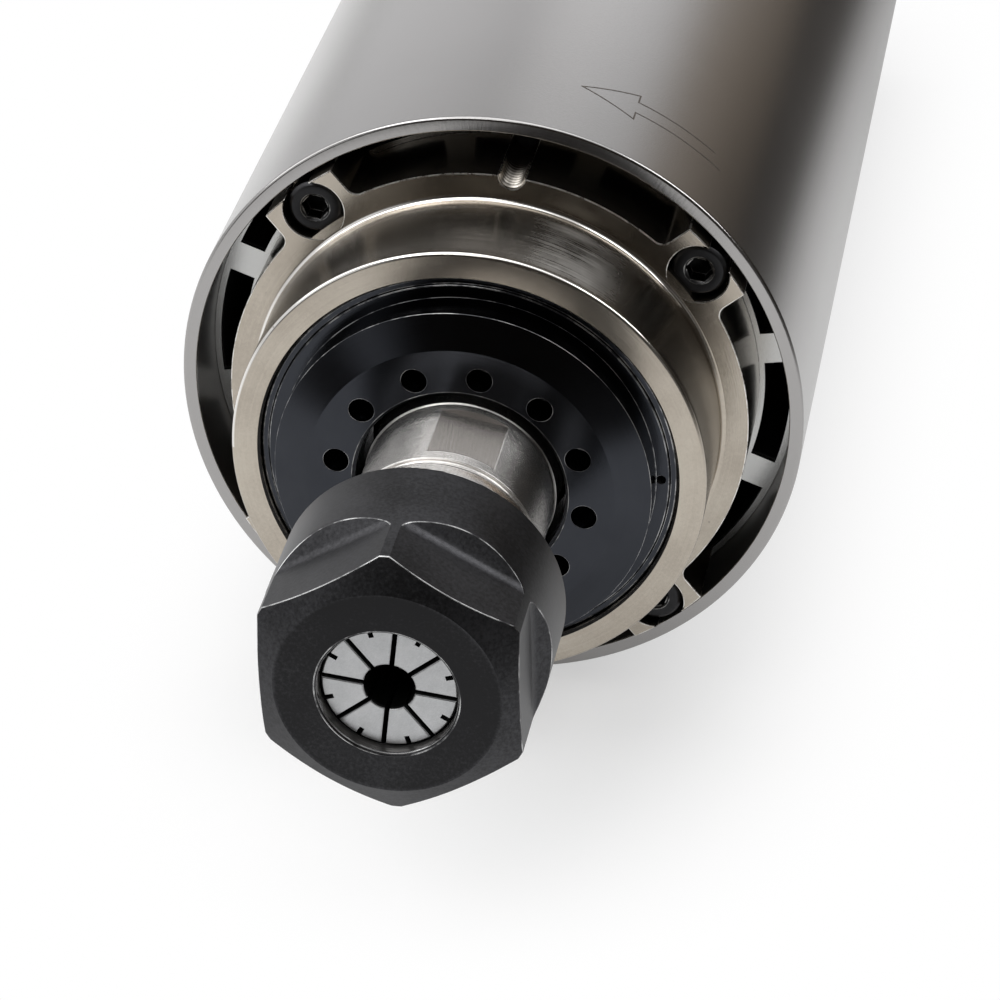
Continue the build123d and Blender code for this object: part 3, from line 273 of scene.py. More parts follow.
def lamp(name, place, width, depth, power):
    """A soft box, aimed at the motor."""
    data = bpy.data.lights.new(name, "AREA")
    data.shape = "RECTANGLE"
    data.size, data.size_y = width, depth
    data.energy = power
    box = bpy.data.objects.new(name, data)
    bpy.context.scene.collection.objects.link(box)
    box.location = Vector(place)
    box.rotation_mode = "QUATERNION"
    box.rotation_quaternion = (-Vector(place)).to_track_quat("-Z", "Y")


lamp("left_box", (-0.64, 0.0, 0.60), 0.62, 0.8, 3.1)
lamp("right_box", (0.60, 0.02, 0.60), 0.2, 0.5, 2.0)
lamp("top_box", (-0.15, 0.1, 0.88), 1.1, 0.9, 4.4)
lamp("front_box", (-0.30, -0.44, 0.66), 0.6, 0.16, 0.9)


# Outer tube. Stainless steel, drawn and brushed, 80 mm across, its edges broken at both ends.
# It is a press fit over the finned housing, reaches past it at both ends, and takes the
# countersunk screws of the rear cover.
STEPS = 192
FRONT = -10.0
TUBE_REAR = 178.0
TUBE_BORE_R = 38.2
TUBE_BREAK = 0.4
SCREW_ANGLE = 39.7
COVER_SCREW_Y = 173.0
COVER_SCREW_HEAD_R = 2.9
COVER_SCREW_R = 1.5
COVER_SCREW_SINK = 0.4
COVER_SCREW_END = 35.0
FIT = 0.05


def lathe(outline, steps=STEPS):
    """Spins a closed outline of (radius, y, corner radius) points, in millimetres, about the spindle axis."""
    bm = bmesh.new()
    corners = [(Vector((r, y, 0)) * MM, size[0] if size else 0) for r, y, *size in outline]
    verts = [bm.verts.new(place) for place, _ in corners]
    bm.faces.new(verts)
    for size in sorted({size for _, size in corners if size > 0}):
        picked = [v for v, (_, corner) in zip(verts, corners) if corner == size and v.is_valid]
        bmesh.ops.bevel(bm, geom=picked, offset=size * MM, offset_type="OFFSET", segments=3, profile=0.5,
                        affect="VERTICES", material=-1, clamp_overlap=True)
    bmesh.ops.delete(bm, geom=bm.faces[:], context="FACES_ONLY")
    bmesh.ops.spin(bm, geom=bm.verts[:] + bm.edges[:], cent=(0, 0, 0), axis=(0, -1, 0), angle=2 * pi,
                   steps=steps, use_merge=True)
    bmesh.ops.remove_doubles(bm, verts=bm.verts, dist=1e-7)
    bmesh.ops.recalc_face_normals(bm, faces=bm.faces)
    return bm


def move(bm, x=0.0, y=0.0, z=0.0):
    bmesh.ops.translate(bm, vec=Vector((x, y, z)) * MM, verts=bm.verts)
    return bm


def around(bm, count, first_angle=0.0):
    """Turns a shape to its first angle, from +X towards +Z, and repeats it about the spindle axis."""
    bmesh.ops.rotate(bm, cent=(0, 0, 0), matrix=Matrix.Rotation(-radians(first_angle), 3, "Y"), verts=bm.verts)
    if count > 1:
        bmesh.ops.spin(bm, geom=bm.verts[:] + bm.edges[:] + bm.faces[:], cent=(0, 0, 0), axis=(0, -1, 0),
                       angle=2 * pi * (count - 1) / count, steps=count - 1, use_duplicate=True)
    return bm


def carve(bm, cutter, operation="DIFFERENCE"):
    """Cuts one shape with another, joins them or keeps what they share."""
    pieces = []
    for shape in (bm, cutter):
        mesh = bpy.data.meshes.new("blank")
        shape.to_mesh(mesh)
        shape.free()
        pieces.append(bpy.data.objects.new("blank", mesh))
        bpy.context.scene.collection.objects.link(pieces[-1])
    cut = pieces[0].modifiers.new("cut", "BOOLEAN")
    cut.operation = operation
    cut.object = pieces[1]
    cut.solver = "EXACT"
    bpy.context.view_layer.update()
    carved = bpy.data.meshes.new_from_object(pieces[0].evaluated_get(bpy.context.evaluated_depsgraph_get()))
    for piece in pieces:
        bpy.data.meshes.remove(piece.data)
    result = bmesh.new()
    result.from_mesh(carved)
    bpy.data.meshes.remove(carved)
    return result


def show(name, bm, finishes, body, replaced=(), crease=35):
    """Puts a finished piece in the scene, on its body, in place of CAD nodes."""
    for face in bm.faces:
        face.smooth = True
    mesh = bpy.data.meshes.new(name)
    bm.to_mesh(mesh)
    bm.free()
    piece = bpy.data.objects.new(name, mesh)
    bpy.context.scene.collection.objects.link(piece)
    for finish in finishes:
        mesh.materials.append(finish.material)
    mesh.set_sharp_from_angle(angle=radians(crease))
    evened = piece.modifiers.new("even_faces", "WEIGHTED_NORMAL")
    evened.keep_sharp = True
    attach(piece, body)
    if replaced:
        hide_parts(*replaced)
    return piece


def inwards(bm, y):
    """Turns a shape on the spindle axis to point in through the tube's wall at some place along it."""
    bmesh.ops.rotate(bm, cent=(0, 0, 0), matrix=Matrix.Rotation(-pi / 2, 3, "Z"), verts=bm.verts)
    return move(bm, y=y)


def cover_screw(fit=0.0):
    """One countersunk screw in the tube's wall, or with a fit the cutter for its hole."""
    top = TUBE_R - COVER_SCREW_SINK
    end = COVER_SCREW_END - fit
    head_r, shank_r = COVER_SCREW_HEAD_R + fit, COVER_SCREW_R + fit
    outline = [(0, end), (shank_r, end), (shank_r, top - (head_r - shank_r))]
    if fit:
        outline += [(head_r, top), (head_r, top + 2.0), (0, top + 2.0)]
    else:
        outline += [(head_r, top, 0.1), (0, top)]
    return inwards(lathe(outline, 48), COVER_SCREW_Y)


tube = lathe([
    (TUBE_BORE_R, FRONT, 0.15), (TUBE_R, FRONT, TUBE_BREAK),
    (TUBE_R, TUBE_REAR, TUBE_BREAK), (TUBE_BORE_R, TUBE_REAR, 0.15),
])
tube = carve(tube, around(cover_screw(FIT), 4, SCREW_ANGLE))
stainless = Finish("brushed_stainless")
radius, angle, along = stainless.turned_place()
coords, _ = stainless.place()
grain = stainless.noise(stainless.vector(radius * 0.9, angle * 60.0, along * 2.6), 1.0, 4.0, 0.6)
cloud = stainless.noise(coords, 28.0, 3.0, 0.55)
speck = stainless.noise(stainless.vector(radius * 0.9, angle * 160.0, along * 4.0), 1.0, 2.0, 0.5)
lip = 1.0 - along.step(FRONT + 0.5, FRONT + 0.7)
# Painted shade: the tube's colour darkens towards its front end, over its first 45 mm.
front_shade = 1.0 - along.step(FRONT, FRONT + 45.0)
# Painted shade: behind its front edge, the tube's bore is coloured near black and made less metallic.
tube_bore_shade = (1.0 - radius.step(TUBE_BORE_R + 0.15, TUBE_BORE_R + 0.4)) * along.step(FRONT + 0.1, FRONT + 0.4)
shine = (cloud * 0.4 + grain * 0.2 + speck * 0.4 - lip * 0.5 - front_shade * 0.35).clamp()
brushed = stainless.mix(shine, (0.36, 0.352, 0.346), (0.54, 0.53, 0.525))
stainless.set(
    Metallic=1.0 - tube_bore_shade * 0.5,
    Base_Color=stainless.mix(tube_bore_shade, brushed, (0.04, 0.037, 0.034)),
    Roughness=(0.18 + cloud * 0.08 + speck * 0.05 - lip * 0.06 + tube_bore_shade * 0.15).clamp(),
)
stainless.bump(grain * 0.6 + speck * 0.4, 0.06, 0.0002)
show("outer_tube_shell", tube, [stainless], "motor_body", ["outer_tube"])

# Turning arrow. A thin dark outline, marked on the tube beside its front edge with a laser.
# Its shaft is left open at its end, and it points the way the nose turns.
ARROW_Y = 3.4
ARROW_LINE, ARROW_LIFT = 0.22, 0.012
ARROW_TIP, ARROW_HEAD, ARROW_END = 76.4, 65.9, 47.5
ARROW_HEAD_HALF, ARROW_SHAFT_HALF = 3.3, 1.45
ARROW_POINTS = [
    (ARROW_END, -ARROW_SHAFT_HALF), (ARROW_HEAD, -ARROW_SHAFT_HALF), (ARROW_HEAD, -ARROW_HEAD_HALF),
    (ARROW_TIP, 0.0), (ARROW_HEAD, ARROW_HEAD_HALF), (ARROW_HEAD, ARROW_SHAFT_HALF),
    (ARROW_END + 2.0, ARROW_SHAFT_HALF),
]


def gather(shapes):
    """One group of separate shapes."""
    group = bmesh.new()
    for shape in shapes:
        mesh = bpy.data.meshes.new("shape")
        shape.to_mesh(mesh)
        shape.free()
        group.from_mesh(mesh)
        bpy.data.meshes.remove(mesh)
    return group


strokes = []
for (angle_a, side_a), (angle_b, side_b) in zip(ARROW_POINTS, ARROW_POINTS[1:]):
    start = Vector((radians(angle_a) * TUBE_R, ARROW_Y + side_a, 0))
    end = Vector((radians(angle_b) * TUBE_R, ARROW_Y + side_b, 0))
    ahead = (end - start).normalized() * ARROW_LINE / 2
    aside = Vector((-ahead.y, ahead.x, 0))
    stroke = bmesh.new()
    corners = (start - ahead - aside, end + ahead - aside, end + ahead + aside, start - ahead + aside)
    stroke.faces.new([stroke.verts.new(corner) for corner in corners])
    long_edges = [edge for edge in stroke.edges if edge.calc_length() > 2 * ARROW_LINE]
    bmesh.ops.subdivide_edges(stroke, edges=long_edges, cuts=max(1, int(abs(angle_b - angle_a))), use_grid_fill=True)
    strokes.append(stroke)
arrow = gather(strokes)
for vert in arrow.verts:
    turn = vert.co.x / TUBE_R
    vert.co = Vector(((TUBE_R + ARROW_LIFT) * cos(turn), vert.co.y, (TUBE_R + ARROW_LIFT) * sin(turn))) * MM
bmesh.ops.recalc_face_normals(arrow, faces=arrow.faces)
for face in arrow.faces:
    middle = face.calc_center_median()
    if face.normal.dot(Vector((middle.x, 0, middle.z))) < 0:
        face.normal_flip()
laser = Finish("laser_mark")
coords, _ = laser.place()
patches = laser.noise(coords, 900.0, 3.0, 0.6)
laser.set(Metallic=0.6, Roughness=0.5, Base_Color=laser.mix(patches, (0.035, 0.028, 0.024), (0.14, 0.12, 0.105)))
show("turning_arrow", arrow, [laser], "motor_body")

# Finned housing. An aluminium extrusion whose inner ring holds the stator, with twelve ribs out
# to a thin skin against the tube. The fan blows air through the channels between the ribs.
HOUSING_LENGTH = 140.0
CORE_INNER_R, CORE_OUTER_R = 31.0, 34.0
SKIN_INNER_R, SKIN_OUTER_R = 37.35, 38.15
RIB_WIDTH, WIDE_RIB_WIDTH, RIB_ROOT, RIB_TIP = 4.2, 9.0, 0.6, 0.3


def pipe(inner_r, outer_r, length):
    """A plain round pipe on the spindle axis, from y 0."""
    return lathe([(inner_r, 0), (outer_r, 0), (outer_r, length), (inner_r, length)])


def block(x_low, x_high, width, front_y, rear_y):
    """A box from one radius to another, centred on angle 0."""
    bm = bmesh.new()
    bmesh.ops.create_cube(bm, size=1.0)
    bmesh.ops.scale(bm, vec=Vector((x_high - x_low, rear_y - front_y, width)) * MM, verts=bm.verts)
    return move(bm, x=(x_low + x_high) / 2, y=(front_y + rear_y) / 2)


extrusion = pipe(CORE_INNER_R, CORE_OUTER_R, HOUSING_LENGTH)
for i in range(12):
    width = WIDE_RIB_WIDTH if i % 3 == 0 else RIB_WIDTH
    rib = block(CORE_OUTER_R - RIB_ROOT, SKIN_INNER_R + RIB_TIP, width, 0, HOUSING_LENGTH)
    extrusion = carve(extrusion, around(rib, 1, SCREW_ANGLE + 30 * i), "UNION")
extrusion = carve(extrusion, pipe(SKIN_INNER_R, SKIN_OUTER_R, HOUSING_LENGTH), "UNION")
milled = Finish("extruded_aluminium")
coords, (x, y, z) = milled.place()
sawn = milled.noise(milled.vector(x * 3.0 + z * 0.6, y * 0.5, z * 9.0 - x * 1.0), 1.0, 3.0, 0.6)
# Painted shade: behind the first millimetre at each end, the extrusion is coloured near black and made less metallic,
# with a faint mottle.
shade_mottle = milled.noise(coords, 160.0, 3.0, 0.6)
inside = y.step(0.15, 1.2) * (1.0 - y.step(HOUSING_LENGTH - 1.2, HOUSING_LENGTH - 0.15))
milled.set(
    Metallic=1.0 - inside * 0.6,
    Base_Color=milled.mix(inside, milled.mix(sawn, (0.44, 0.44, 0.43), (0.58, 0.58, 0.57)),
                          milled.mix(shade_mottle, (0.012, 0.012, 0.012), (0.03, 0.029, 0.028))),
    Roughness=(0.20 + sawn * 0.10 + inside * 0.35).clamp(),
)
milled.bump(sawn, 0.05, 0.0002)
show("finned_extrusion", extrusion, [milled], "motor_body", ["finned_housing"])

# Front bearing housing. Turned from steel bar, with a four-lobed flange screwed to the finned
# housing, a boss that holds the front bearings, and a tapped hole that opens at the flange's rim.
FLANGE_R, FLANGE_FACE = 33.3, -11.7
LOBE_R, LOBE_WIDTH, LOBE_FILLET = 37.6, 11.0, 1.4
BOSS_R, BOSS_FACE, BOSS_COVE, BOSS_BREAK = 29.8, -26.2, 0.7, 0.45
MOUTH_R, POCKET_R, SPIGOT_R = 26.2, 23.55, 30.95
SCREW_CIRCLE_R, COUNTERBORE_R, COUNTERBORE_Y = 34.2, 3.85, -6.7
NOTCH_R, NOTCH_ANGLE = 1.65, 84.7
MERGE = 0.004


def rod(radius, front_y, rear_y, steps=48):
    """A plain round bar on the spindle axis."""
    return lathe([(0, front_y), (radius, front_y), (radius, rear_y), (0, rear_y)], steps)


def soften(bm, width, finish=0, sharp=30, pick=lambda edge: True):
    """Breaks the sharp edges by a small radius, which may take the piece's second finish."""
    bmesh.ops.remove_doubles(bm, verts=bm.verts, dist=MERGE * MM)
    bmesh.ops.dissolve_degenerate(bm, edges=bm.edges, dist=MERGE * MM)
    edges = [edge for edge in bm.edges
             if edge.is_manifold and edge.calc_face_angle(0) > radians(sharp) and pick(edge)]
    broken = bmesh.ops.bevel(bm, geom=edges, offset=width * MM, offset_type="OFFSET", segments=2,
                             profile=0.5, affect="EDGES", material=-1, clamp_overlap=False)
    for face in broken["faces"]:
        face.material_index = finish
    return bm


def push(bm, y=0.0, z=0.0):
    """Gives a flat outline its thickness."""
    pushed = bmesh.ops.extrude_face_region(bm, geom=bm.faces[:])["geom"]
    bmesh.ops.translate(bm, vec=Vector((0, y, z)) * MM,
                        verts=[item for item in pushed if isinstance(item, bmesh.types.BMVert)])
    bmesh.ops.recalc_face_normals(bm, faces=bm.faces)
    return bm


def arc(bm, centre, start, sweep, steps):
    """A row of edges along an arc as seen from the nose; gives its first and last point."""
    first = bm.verts.new(Vector((start[0], 0, start[1])) * MM)
    swept = bmesh.ops.spin(bm, geom=[first], cent=Vector((centre[0], 0, centre[1])) * MM, axis=(0, -1, 0),
                           angle=radians(sweep), steps=steps)
    last = [item for item in swept["geom_last"] if isinstance(item, bmesh.types.BMVert)][0]
    return first, last


def lobed_disc(front_y, rear_y):
    """A round flange with four square-shouldered lobes."""
    reach = sqrt((FLANGE_R + LOBE_FILLET) ** 2 - (LOBE_WIDTH / 2 + LOBE_FILLET) ** 2)
    centre_z = LOBE_WIDTH / 2 + LOBE_FILLET
    root = degrees(atan2(centre_z, reach))
    corner = degrees(asin(LOBE_WIDTH / 2 / LOBE_R))
    on = lambda r, a: (r * cos(radians(a)), r * sin(radians(a)))
    quarter = 45 - root
    bm = bmesh.new()
    arc(bm, (0, 0), on(FLANGE_R, -45), quarter, 30)
    _, low_root = arc(bm, (reach, -centre_z), on(FLANGE_R, -root), root - 90, 8)
    low_corner, high_corner = arc(bm, (0, 0), on(LOBE_R, -corner), 2 * corner, 16)
    high_root, _ = arc(bm, (reach, centre_z), (reach, LOBE_WIDTH / 2), root - 90, 8)
    arc(bm, (0, 0), on(FLANGE_R, root), quarter, 30)
    bm.edges.new((low_root, low_corner))
    bm.edges.new((high_corner, high_root))
    around(bm, 4, SCREW_ANGLE)
    bmesh.ops.remove_doubles(bm, verts=bm.verts, dist=0.02 * MM)
    bmesh.ops.contextual_create(bm, geom=bm.edges[:])
    return move(push(bm, y=rear_y - front_y), y=front_y)


flange = carve(lobed_disc(FLANGE_FACE, 0.0), rod(BOSS_R - 2.0, -20.0, 5.0, STEPS))
counterbore = carve(rod(COUNTERBORE_R, -20.0, COUNTERBORE_Y, 64), rod(2.25, -8.0, 5.0), "UNION")
flange = carve(flange, around(move(counterbore, x=SCREW_CIRCLE_R), 4, SCREW_ANGLE))
flange = carve(flange, around(move(rod(NOTCH_R, -20.0, 5.0, 40), x=FLANGE_R), 1, NOTCH_ANGLE))
flange = soften(flange, 0.16, finish=1)
turned = Finish("turned_steel")
radius, angle, along = turned.turned_place()
coords, _ = turned.place()
rings = turned.noise(turned.vector(radius * 7.0, angle * 1.3, along * 7.0), 1.0, 4.0, 0.65)
sand = turned.noise(coords, 2600.0, 3.0, 0.7)
stain = turned.noise(coords, 90.0, 4.0, 0.6)
pits = turned.node("ShaderNodeTexVoronoi", {"feature": "F1"}, {"Vector": coords, "Scale": 300.0})
pit = 1.0 - pits.step(0.025, 0.06)
tone = (stain * 0.55 + sand * 0.25 + rings * 0.2).clamp()
# The boss's side bounds the feed marks and takes a painted shade, darker than the rest of the steel.
side = along.band(BOSS_FACE + 1.0, FLANGE_FACE - 1.6, 0.8) * radius.step(BOSS_R - 0.3, BOSS_R - 0.2)
# Painted highlight: a pale, rougher sheen patch on the boss's side, between 56 and 76 degrees round.
sheen_and_rubbed_edge = side * angle.band(radians(56), radians(76), 0.14) * (rings * 0.6 + stain * 0.6).step(0.45, 0.75) * 0.8
metal = turned.mix(tone.step(0.32, 0.68), (0.36, 0.32, 0.27), (0.49, 0.447, 0.382))
metal = turned.mix(sheen_and_rubbed_edge, turned.mix(side, metal, (0.27, 0.247, 0.215)), (0.66, 0.64, 0.61))
# Painted highlight: the boss's front edge and root cove are coloured paler and made smoother on their upper part, above
# about 50 degrees round, fading out by 15.
corner = radius.band(BOSS_R - 0.35, BOSS_R + 0.5, 0.1) * angle.step(radians(15), radians(50))
corner = corner * (1.0 - along.band(BOSS_FACE + 0.4, FLANGE_FACE - 0.6, 0.1))
turned.set(
    Metallic=1.0,
    Base_Color=turned.mix(pit * 0.4, turned.mix(corner, metal, (0.74, 0.72, 0.69)), (0.14, 0.11, 0.085)),
    Roughness=(0.13 + sand * 0.10 + stain * 0.06 + sheen_and_rubbed_edge * 0.26 - corner * 0.06).clamp(),
)
feed_marks = along * (2 * pi / 0.21)
turned.bump(feed_marks.math("SINE", feed_marks) * side, 1.0, 0.000004)
turned.bump(rings * 0.5 + sand * 0.5, 0.06, 0.0002)
bright = Finish("bright_edge")
coords, _ = bright.place()
nicks = bright.noise(coords, 700.0, 3.0, 0.6)
bright.set(Metallic=1.0, Roughness=0.22 + nicks * 0.12,
           Base_Color=bright.mix(nicks.step(0.35, 0.6), (0.42, 0.39, 0.35), (0.80, 0.78, 0.74)))
show("front_flange", flange, [turned, bright], "motor_body", ["front_housing"])
boss = lathe([
    (MOUTH_R + 0.3, BOSS_FACE, 0.0), (BOSS_R, BOSS_FACE, BOSS_BREAK),
    (BOSS_R, FLANGE_FACE, BOSS_COVE), (BOSS_R + 1.8, FLANGE_FACE + 0.05, 0), (BOSS_R + 1.8, -1.0, 0),
    (SPIGOT_R, -1.0, 0), (SPIGOT_R, 11.5, 0.3), (21.0, 11.5, 0.3), (21.0, 7.4, 0), (POCKET_R, 7.4, 0),
    (POCKET_R, -16.6, 0), (MOUTH_R, -16.6, 0), (MOUTH_R, BOSS_FACE + 0.3, 0.0),
], 256)
show("front_boss", boss, [turned], "motor_body", ["front_housing"])

# Tapped hole. It opens at the flange's rim, so half of its thread shows, bright where the tap cut
# it. It is cut in the bearing housing's own steel and is drawn as a thin sleeve in the notch.
TAP_PITCH, TAP_DEPTH, TAP_START = 0.7, 0.28, FLANGE_FACE + 0.5
tapped = [(NOTCH_R + 0.3, FLANGE_FACE + 0.4), (NOTCH_R + 0.3, -0.2)]
for i in reversed(range(int(-FLANGE_FACE / TAP_PITCH))):
    y = TAP_START + TAP_PITCH * i
    tapped += [(NOTCH_R, y + TAP_PITCH * 0.9), (NOTCH_R - TAP_DEPTH, y + TAP_PITCH * 0.5),
               (NOTCH_R - TAP_DEPTH, y + TAP_PITCH * 0.4)]
tapped.append((NOTCH_R, TAP_START))
thread = move(lathe(tapped, 40), x=FLANGE_R)
thread = carve(thread, rod(FLANGE_R - 0.05, -12.0, 1.0, STEPS), "INTERSECT")
tap_cut = Finish("tap_cut")
coords, (_, along, _) = tap_cut.place()
oily = tap_cut.noise(coords, 500.0, 2.0, 0.5)
turns = along / TAP_PITCH
# Painted shade: each turn's teeth are coloured darker, and the thread darkens further into the notch.
tooth_shade = turns.math("FRACT", turns).band(0.2, 0.65, 0.12)
notch_shade = along.step(FLANGE_FACE + 4.0, FLANGE_FACE + 7.0)
cut_steel = tap_cut.mix(oily, (0.46, 0.43, 0.38), (0.60, 0.57, 0.52))
tap_cut.set(Metallic=1.0, Roughness=0.26 + oily * 0.1,
            Base_Color=tap_cut.mix((notch_shade + tooth_shade * 0.7).clamp(), cut_steel, (0.06, 0.05, 0.042)))
show("tapped_notch", around(thread, 1, NOTCH_ANGLE), [tap_cut], "motor_body", crease=20)

# Flange screws. M4 socket cap screws in black oxide, their heads sunk in the lobes.
# They hold the front bearing housing on the finned housing.
HEAD_R, HEAD_HEIGHT, HEAD_TOP = 3.45, 4.0, FLANGE_FACE + 1.0
SCREW_R, SCREW_LENGTH, SCREW_TIP = 2.0, 14.0, 0.4
SOCKET_HALF, SOCKET_DEPTH, SOCKET_POINT = 1.5, 2.2, 0.7
SCREW_TWISTS = (12.0, 41.0, 27.0, 3.0)


def cap_screw(twist):
    """A cap screw on the spindle axis, its hexagon socket turned by some degrees."""
    head_end = HEAD_TOP + HEAD_HEIGHT
    tip = head_end + SCREW_LENGTH
    screw = lathe([
        (0, HEAD_TOP), (HEAD_R - 0.45, HEAD_TOP, 0.12), (HEAD_R, HEAD_TOP + 0.45, 0.12), (HEAD_R, head_end, 0.1),
        (SCREW_R, head_end), (SCREW_R, tip - SCREW_TIP), (SCREW_R - SCREW_TIP, tip), (0, tip),
    ], 72)
    outside = HEAD_TOP - 1
    hexagon_r = SOCKET_HALF / cos(radians(30))
    socket = lathe([(0, outside), (hexagon_r, outside), (hexagon_r, HEAD_TOP + SOCKET_DEPTH),
                    (0, HEAD_TOP + SOCKET_DEPTH + SOCKET_POINT)], 6)
    lead = lathe([(0, outside), (hexagon_r + 1.15, outside), (hexagon_r - 0.12, HEAD_TOP + 0.27),
                  (0, HEAD_TOP + 0.27)], 48)
    return carve(carve(screw, around(socket, 1, twist)), lead)


oxide = Finish("black_screw")
coords, (_, along, _) = oxide.place()
bloom = oxide.noise(coords, 500.0, 4.0, 0.6)
# Painted shade: from half a millimetre below the head's top to near its underside, the screw is coloured nearly black,
# in its socket and on its sides in the counterbore.
socket_shade = along.band(HEAD_TOP + 0.5, HEAD_TOP + 3.5, 0.3)
blacked = oxide.mix(bloom, (0.020, 0.020, 0.021), (0.042, 0.042, 0.044))
oxide.set(Metallic=0.9, Roughness=0.30 + bloom * 0.14,
          Base_Color=oxide.mix(socket_shade, blacked, (0.004, 0.004, 0.004)))
oxide.bump(bloom, 0.1, 0.0001)
oxide_edge = Finish("rubbed_black")
coords, _ = oxide_edge.place()
bloom = oxide_edge.noise(coords, 900.0, 3.0, 0.6)
oxide_edge.set(Metallic=0.9, Roughness=0.3,
               Base_Color=oxide_edge.mix(bloom.step(0.4, 0.65), (0.06, 0.06, 0.06), (0.32, 0.32, 0.31)))
heads = gather(
    around(move(soften(cap_screw(twist), 0.06, finish=1), x=SCREW_CIRCLE_R), 1, SCREW_ANGLE + 90 * i)
    for i, twist in enumerate(SCREW_TWISTS)
)
show("flange_screws", heads, [oxide, oxide_edge], "motor_body", ["front_housing_screws"])

# Retaining nut. A threaded steel ring in blue-black oxide that clamps the front bearings.
# Twelve blind holes take its pin wrench, and a small hole bleeds the labyrinth behind it.
GLAND_RIM, GLAND_RAISED, GLAND_FACE, GLAND_SEAT, GLAND_LIP = -25.5, -29.6, -31.1, -16.6, -19.6
GLAND_BORE_R, GLAND_FLAT_R, GLAND_RAISED_R, GLAND_THREAD_R, GLAND_LIP_R = 13.1, 19.2, 23.5, 26.1, 21.0
PIN_CIRCLE_R, PIN_R, PIN_DEPTH, PIN_POINT, PIN_ANGLE = 15.6, 1.6, 5.0, 0.9, 20.8
BLEED_R, BLEED_CIRCLE_R, BLEED_ANGLE = 0.6, 24.1, 1.0
gland = lathe([
    (GLAND_BORE_R, GLAND_FACE + 0.4), (GLAND_BORE_R + 0.4, GLAND_FACE), (GLAND_FLAT_R, GLAND_FACE),
    (GLAND_RAISED_R, GLAND_RAISED), (GLAND_RAISED_R, GLAND_RIM), (GLAND_THREAD_R - 1.0, GLAND_RIM, 0.12),
    (GLAND_THREAD_R - 0.8, GLAND_RIM + 0.3), (GLAND_THREAD_R, GLAND_RIM + 0.3, 0.2), (GLAND_THREAD_R, GLAND_SEAT),
    (GLAND_LIP_R, GLAND_SEAT), (GLAND_LIP_R, GLAND_LIP), (GLAND_BORE_R, GLAND_LIP),
], 256)
pin_hole = lathe([(0, -40), (PIN_R, -40), (PIN_R, GLAND_FACE + PIN_DEPTH), (0, GLAND_FACE + PIN_DEPTH + PIN_POINT)], 40)
gland = carve(gland, around(move(pin_hole, x=PIN_CIRCLE_R), 12, PIN_ANGLE))
gland = carve(gland, around(move(rod(BLEED_R, -40, -10, 24), x=BLEED_CIRCLE_R), 1, BLEED_ANGLE))
at_r = lambda edge, r: all(abs(vert.co.xz.length / MM - r) < 0.08 for vert in edge.verts)
gland = soften(gland, 0.05, finish=1, sharp=14, pick=lambda edge: not at_r(edge, GLAND_FLAT_R))
blued = Finish("blued_steel")
radius, angle, along = blued.turned_place()
coords, _ = blued.place()
rings = blued.noise(blued.vector(radius * 9.0, angle * 0.8, along * 9.0), 1.0, 3.0, 0.6)
smear = blued.noise(coords, 120.0, 4.0, 0.6)
blued.set(
    Metallic=1.0,
    Base_Color=blued.mix((smear * 0.7 + rings * 0.3).clamp(), (0.026, 0.028, 0.033), (0.050, 0.053, 0.061)),
    Roughness=(0.12 + smear * 0.08 + rings * 0.04).clamp(),
)
blued.bump(rings, 0.04, 0.0002)
blued_edge = Finish("rubbed_blue")
coords, _ = blued_edge.place()
rub = blued_edge.noise(coords, 330.0, 4.0, 0.65)
blued_edge.set(Metallic=0.9, Roughness=0.28,
               Base_Color=blued_edge.mix(rub.step(0.42, 0.62), (0.08, 0.083, 0.09), (0.46, 0.46, 0.46)))
show("retaining_ring", gland, [blued, blued_edge], "motor_body", ["retaining_nut"], crease=12)

# Spindle shaft. Hardened steel, ground all over, with the collet's taper and a fine thread in
# its nose, a neck behind the thread, and two flats for a wrench. The rotor is pressed on it.
TIP, THREAD_R, THREAD_END = -67.5, 12.5, -46.2
NECK_R, NECK_END, NOSE_R, COLLAR_Y = 11.3, -43.8, 11.8, -31.0
FLAT_FRONT, FLAT_REAR, FLAT_DEPTH, FLAT_ANGLE = -42.2, -32.2, 0.8, 78.5
THREAD_PITCH, THREAD_ROOT_R, THREAD_LAST = 1.5, 11.95, -49.5
COLLAR_R, BEARING_R, DRAW_BORE_R, TAPER_MOUTH_R = 11.95, 12.5, 5.5, 7.06
SHOULDER_R, ROTOR_R, RELIEF_R, REAR_BEARING_R, FAN_SEAT_R, FAN_SCREW_R = 15.2, 13.5, 11.0, 8.5, 5.0, 2.05
outline = [(10.45, TIP), (11.7, TIP), (THREAD_ROOT_R, TIP + 0.5)]
turn_y = TIP + 0.5
while turn_y < THREAD_LAST:
    outline += [(THREAD_ROOT_R, turn_y + 0.2), (THREAD_R, turn_y + 0.7), (THREAD_R, turn_y + 0.95),
                (THREAD_ROOT_R, turn_y + 1.45)]
    turn_y += THREAD_PITCH
